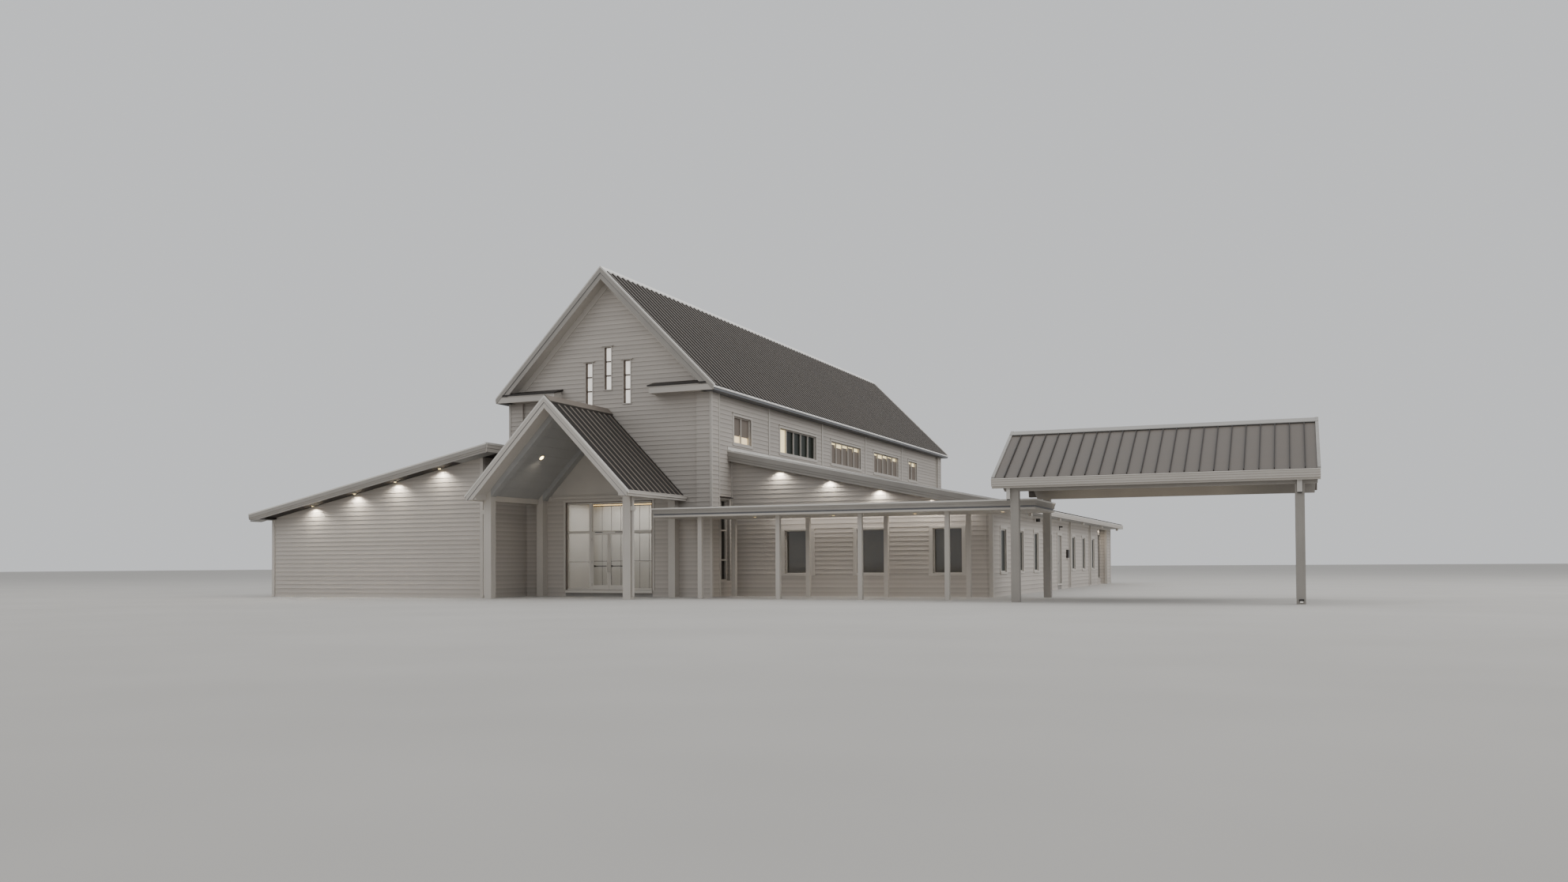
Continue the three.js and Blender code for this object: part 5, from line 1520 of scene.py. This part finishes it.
class CHURCH_OT_carport_trim(bpy.types.Operator):
    """Column trim, outlet boxes and the boarded ceiling of the carport"""
    bl_idname = "church.carport_trim"
    bl_label = "Carport trim"

    def execute(self, context):
        half = CARPORT_COLUMN / 2
        # Painted shade: the column trim is drawn in the darker trim paint.
        with piece("carport_column_trim", "weathered_trim", 3):
            for x in CARPORT_COLUMN_X:
                for y in (CARPORT_RIDGE_Y - CARPORT_COLUMN_OUT, CARPORT_RIDGE_Y + CARPORT_COLUMN_OUT):
                    corner_strips(x, y, half, 50, (20, 3585))
        front = CARPORT_RIDGE_Y - CARPORT_COLUMN_OUT - half
        with piece("carport_downspouts", "roof_edge_steel", 4):
            for x, wide in ((CARPORT_COLUMN_X[0] - half - 58, 58), (CARPORT_COLUMN_X[1] - 4, 70)):
                block((x - wide, x + wide), (front - 96, front - 14), (3330, 3780))
                for step in (-0.36, 0.36):
                    block((x + step * wide - 5, x + step * wide + 5), (front - 101, front - 90), (3345, 3770))
        with piece("carport_head_outlets", "dark_bronze", 4):
            for x, wide in ((CARPORT_COLUMN_X[0] - half - 58, 46), (CARPORT_COLUMN_X[1] - 4, 62)):
                block((x - wide, x + wide), (front - 84, front - 6), (3296, 3334))
        x = CARPORT_COLUMN_X[1] + 10
        with piece("carport_outlet", "dark_bronze", 8):
            block((x - 70, x + 70), (front - 60, front + 4), (96, 150))
        with piece("carport_outlet_shoe", "roof_edge_steel", 4):
            prism_x([(front + 4, 40), (front + 4, 94), (front - 60, 94), (front - 96, 40)], x - 42, x + 42)
        x0, x1 = CARPORT_X
        under = CARPORT_RIDGE - 200
        reach = CARPORT_COLUMN_OUT - half - 20
        with piece("carport_ceiling_battens", "trim_paint"):
            for i in range(9):
                x = x0 + 560 + i * (x1 - x0 - 1120) / 8
                for side in (1, -1):
                    y = CARPORT_RIDGE_Y
                    prism_x([(y, under + 2), (y + side * reach, under - CARPORT_SLOPE * reach + 2),
                             (y + side * reach, under - CARPORT_SLOPE * reach - 20), (y, under - 20)], x - 22, x + 22)
        return {"FINISHED"}


# ---- rain goods and lamps


class CHURCH_OT_rain_goods(bpy.types.Operator):
    """Downspouts, conductor heads and outlet brackets"""
    bl_idname = "church.rain_goods"
    bl_label = "Downspouts"

    def execute(self, context):
        with piece("porch_downspouts", "trim_paint", 7):
            for side in (1, -1):
                x = side * (PORCH_COLUMN_X + 150 + 62)
                y = PORCH_COLUMN_Y - 40
                block((x - 42, x + 42), (y - 40, y + 40), (120, 3260))
                block((x - 78, x + 78), (y - 76, y + 76), (3260, 3440))
                block((x - 42, x + 42), (y - 40, y + 40), (3440, PORCH_EAVE_BOTTOM))
                for z in (700, 1900, 3000):
                    block((side * (PORCH_COLUMN_X + 145), x + side * 46), (y - 46, y + 46), (z, z + 40))
        with piece("wing_side_downspouts", "trim_paint", 7):
            for side, face in ((1, RIGHT_WALL_X), (-1, LEFT_WALL_X)):
                for y in (5330, 18650, 25080):
                    x = face + side * 76
                    block((x - 38, x + 38), (y - 45, y + 45), (60, WING_SOFFIT))
                    for z in (600, 1800, 2900):
                        block((face + side * 4, x + side * 42), (y - 52, y + 52), (z, z + 36))
        with piece("wing_eave_outlets", "trim_paint", 8):
            for side, edge in ((1, RIGHT_EAVE_X), (-1, LEFT_EAVE_X)):
                for y in (6470, 13000, 19600, 26000, 32400):
                    block((edge - side * 190, edge - side * 60), (y - 60, y + 60), (WING_SOFFIT - 150, WING_SOFFIT - 4))
        return {"FINISHED"}


def light(name, kind, place, power, turn=(0, 0, 0), **settings):
    """Adds a lamp with its settings at a place of the model."""
    lamp = bpy.data.lights.new(name, kind)
    lamp.energy = power
    for key, value in settings.items():
        setattr(lamp, key, value)
    holder = bpy.data.objects.new(name, lamp)
    bpy.context.scene.collection.objects.link(holder)
    holder.location = place
    holder.rotation_euler = turn


def wall_washer(name, place, power, spread=140, colour=(1.0, 0.94, 0.84), blend=0.9):
    """A spot that shines straight down beside a wall."""
    light(name, "SPOT", at(*place), power, color=colour, spot_size=math.radians(spread), spot_blend=blend,
          shadow_soft_size=0.03)


def panel_light(name, place, size, power, turn=(0, 0, 0), colour=(1.0, 0.9, 0.74)):
    """A soft light of a real size in x and y."""
    light(name, "AREA", at(*place), power, turn, color=colour, shape="RECTANGLE", size=mm(size[0]), size_y=mm(size[1]))


class CHURCH_OT_lamps(bpy.types.Operator):
    """Downlights, wall lamps and the light they give"""
    bl_idname = "church.lamps"
    bl_label = "Lamps"

    def execute(self, context):
        lamps = group("church_lamps")
        left = [(x, LEFT_FRONT - 230, left_roof(x) - WING_DROP - 12) for x in (-12440, -10200, -8090, -5870)]
        right = [(x, RIGHT_FRONT - 150, right_roof(x) - WING_DROP - 80) for x in (6775, 8893, 10940, 13000)]
        with piece("soffit_lamp_rings", "trim_paint", smooth=True):
            for x, y, z in left + right:
                rod((x, y, z - (4 if x < 0 else -8)), 70, 20, "Z", 24)
        with piece("soffit_lamp_lenses", "lamp_lens", smooth=True):
            for x, y, z in left:
                rod((x, y, z - 10), 44, 14, "Z", 20)
            for x, y, z in right:
                rod((x, y, z + 6), 44, 12, "Z", 20)
        for index, (x, y, z) in enumerate(left + right):
            near, core = (1.0, 0.085) if x < 0 else (0.6, 0.04)
            wall_washer(f"soffit_lamp_{index + 1}", (x, y, z - 30), lamps.wash * near, 150, blend=0.6)
            wall_washer(f"soffit_lamp_core_{index + 1}", (x, y + (120 if x < 0 else 60), z - 90),
                        lamps.wash * core, 100, (1.0, 0.76, 0.24))
        self.porch_lamp()
        self.canopy_lamps(lamps.canopy)
        self.wall_lamps()
        panel_light("lobby_light", (0, 1500, 3900), (3600, 1600), lamps.lobby, colour=(1.0, 0.97, 0.93))
        panel_light("gap_glow", (10600, 1640, 3370), (8200, 240), lamps.canopy * 1.1, colour=(1.0, 0.95, 0.89))
        panel_light("carport_glow", (20800, CARPORT_RIDGE_Y + 1500, 3480), (6800, 300), lamps.canopy * 0.42,
                    turn=(math.pi / 2, 0, 0), colour=(1.0, 0.88, 0.7))
        panel_light("recess_light", (RIGHT_WALL_X - 260, 30300, 3150), (260, 1400), lamps.canopy * 0.7)
        return {"FINISHED"}

    def porch_lamp(self):
        """Round lamp in the left half of the porch ceiling."""
        lean = math.atan(PORCH_SLOPE)
        x, y = -1620, -2260
        under = PORCH_RIDGE - PORCH_DROP - PORCH_SLOPE * abs(x)
        with piece("porch_lamp_ring", "trim_paint", smooth=True):
            rod((x, y, under - 26), 120, 30, (0, -lean, 0), 28)
        with piece("porch_lamp_lens", "lamp_lens", smooth=True):
            rod((x, y, under - 28), 88, 44, (0, -lean, 0), 28)
        wall_washer("porch_lamp", (x + 80, y, under - 120), group("church_lamps").canopy * 0.75, 160, (1.0, 0.9, 0.74))

    def canopy_lamps(self, power):
        places = [(x, -240) for x in (6650, 9850, 13000, 16200)]
        with piece("canopy_lamp_lenses", "cove_lamp", smooth=True):
            for x, y in places:
                rod((x, y, CANOPY_Z[0]), 52, 12, "Z", 20)
        for index, (x, y) in enumerate(places):
            wall_washer(f"canopy_lamp_{index + 1}", (x, y, CANOPY_Z[0] - 40), power, 150)

    def wall_lamps(self):
        """Lantern over the side door, the small box beside it and the round lamp under the eave."""
        face = RIGHT_WALL_X
        with piece("side_door_lantern", "dark_bronze", 8):
            block((face, face + 40), (15890, 16010), (2820, 3010))
            block((face + 30, face + 170), (15900, 16000), (2940, 3000))
        with piece("wall_box", "dark_bronze", 10):
            block((face, face + 120), (17760, 18180), (1500, 1900))
        with piece("eave_round_lamp", "dark_bronze", 8, smooth=True):
            rod((face + 180, 9890, WING_SOFFIT - 200), 95, 140, "Z", 24)


# ---- stage


class CHURCH_OT_stage(bpy.types.Operator):
    """Sets the floor, the soft light and the camera"""
    bl_idname = "church.stage"
    bl_label = "Floor, light and camera"

    def execute(self, context):
        studio_floor()
        studio_light()
        studio_camera()
        return {"FINISHED"}


def studio_floor():
    bpy.ops.object.select_all(action="DESELECT")
    bpy.ops.mesh.primitive_plane_add(size=400, location=(0, 0, 0))
    floor = bpy.context.object
    floor.name = "studio_floor"
    tree, shader, place = open_material("studio_floor_paint")
    soft = noise(tree, place, 4000, 2.0)
    tree.links.new(tones(tree, soft.outputs["Fac"], linear("#b4b1ac"), linear("#bab7b2")),
                   shader.inputs["Base Color"])
    shader.inputs["Roughness"].default_value = 0.9
    floor.data.materials.append(bpy.data.materials["studio_floor_paint"])


def studio_light():
    world = bpy.data.worlds.new("studio")
    bpy.context.scene.world = world
    world.use_nodes = True
    background = world.node_tree.nodes["Background"]
    background.inputs["Color"].default_value = (0.85, 0.865, 0.885, 1)
    background.inputs["Strength"].default_value = 0.86
    for name, place, aim, size, power in (
            ("soft_right", (32, -6, 22), (0, 0, 2), 24, 4600),
            ("soft_left", (-26, -30, 22), (0, 0, 2), 24, 2600),
            ("soft_top", (0, 4, 34), (0, 0, 0), 30, 3000)):
        turn = (Vector(aim) - Vector(place)).to_track_quat("-Z", "Y").to_euler()
        light(name, "AREA", place, power, turn, size=size)


def studio_camera():
    """The photograph's viewpoint: a little under a metre up, turned 22.7 degrees to the left."""
    lens = bpy.data.cameras.new("photo_view")
    lens.lens = 27.98
    lens.sensor_width = 36.0
    lens.shift_y = 0.0637
    lens.clip_end = 1000.0
    camera = bpy.data.objects.new("photo_view", lens)
    bpy.context.scene.collection.objects.link(camera)
    camera.location = (12.824, -29.711, 0.639)
    pitch, yaw, roll = (math.radians(a) for a in (1.085, 22.727, -0.316))
    forward = Vector((-math.sin(yaw) * math.cos(pitch), math.cos(yaw) * math.cos(pitch), math.sin(pitch)))
    level = Vector((math.cos(yaw), math.sin(yaw), 0.0))
    rise = level.cross(forward)
    right = math.cos(roll) * level + math.sin(roll) * rise
    up = math.cos(roll) * rise - math.sin(roll) * level
    rows = ((right.x, up.x, -forward.x), (right.y, up.y, -forward.y), (right.z, up.z, -forward.z))
    camera.rotation_euler = Matrix(rows).to_euler()
    bpy.context.scene.camera = camera


OPERATORS = (
    CHURCH_OT_finishes,
    CHURCH_OT_siding,
    CHURCH_OT_nave_roof,
    CHURCH_OT_porch_roof,
    CHURCH_OT_wing_roofs,
    CHURCH_OT_carport_roof,
    CHURCH_OT_nave_trim,
    CHURCH_OT_nave_windows,
    CHURCH_OT_wing_trim,
    CHURCH_OT_wing_windows,
    CHURCH_OT_entrance,
    CHURCH_OT_side_door,
    CHURCH_OT_porch_trim,
    CHURCH_OT_canopy_trim,
    CHURCH_OT_carport_trim,
    CHURCH_OT_rain_goods,
    CHURCH_OT_lamps,
    CHURCH_OT_stage,
)
GROUPS = {
    "church_cladding": ChurchCladding,
    "church_roofing": ChurchRoofing,
    "church_colours": ChurchColours,
    "church_lamps": ChurchLamps,
}


class CHURCH_PT_panel(bpy.types.Panel):
    """Lists the steps and the sizes they use"""
    bl_idname = "CHURCH_PT_panel"
    bl_label = "Modern church building"
    bl_space_type = "VIEW_3D"
    bl_region_type = "UI"
    bl_category = "Church"

    def draw(self, context):
        for operator in OPERATORS:
            self.layout.operator(operator.bl_idname)
        for name, kind in GROUPS.items():
            box = self.layout.box()
            for prop in kind.__annotations__:
                box.prop(getattr(context.scene, name), prop)


def register():
    for kind in (*GROUPS.values(), *OPERATORS, CHURCH_PT_panel):
        bpy.utils.register_class(kind)
    for name, kind in GROUPS.items():
        setattr(bpy.types.Scene, name, bpy.props.PointerProperty(type=kind))


def unregister():
    for name in GROUPS:
        delattr(bpy.types.Scene, name)
    for kind in (CHURCH_PT_panel, *reversed(OPERATORS), *reversed(GROUPS.values())):
        bpy.utils.unregister_class(kind)


def main():
    register()
    for operator in OPERATORS:
        area, action = operator.bl_idname.split(".")
        getattr(getattr(bpy.ops, area), action)()


if __name__ == "__main__":
    main()
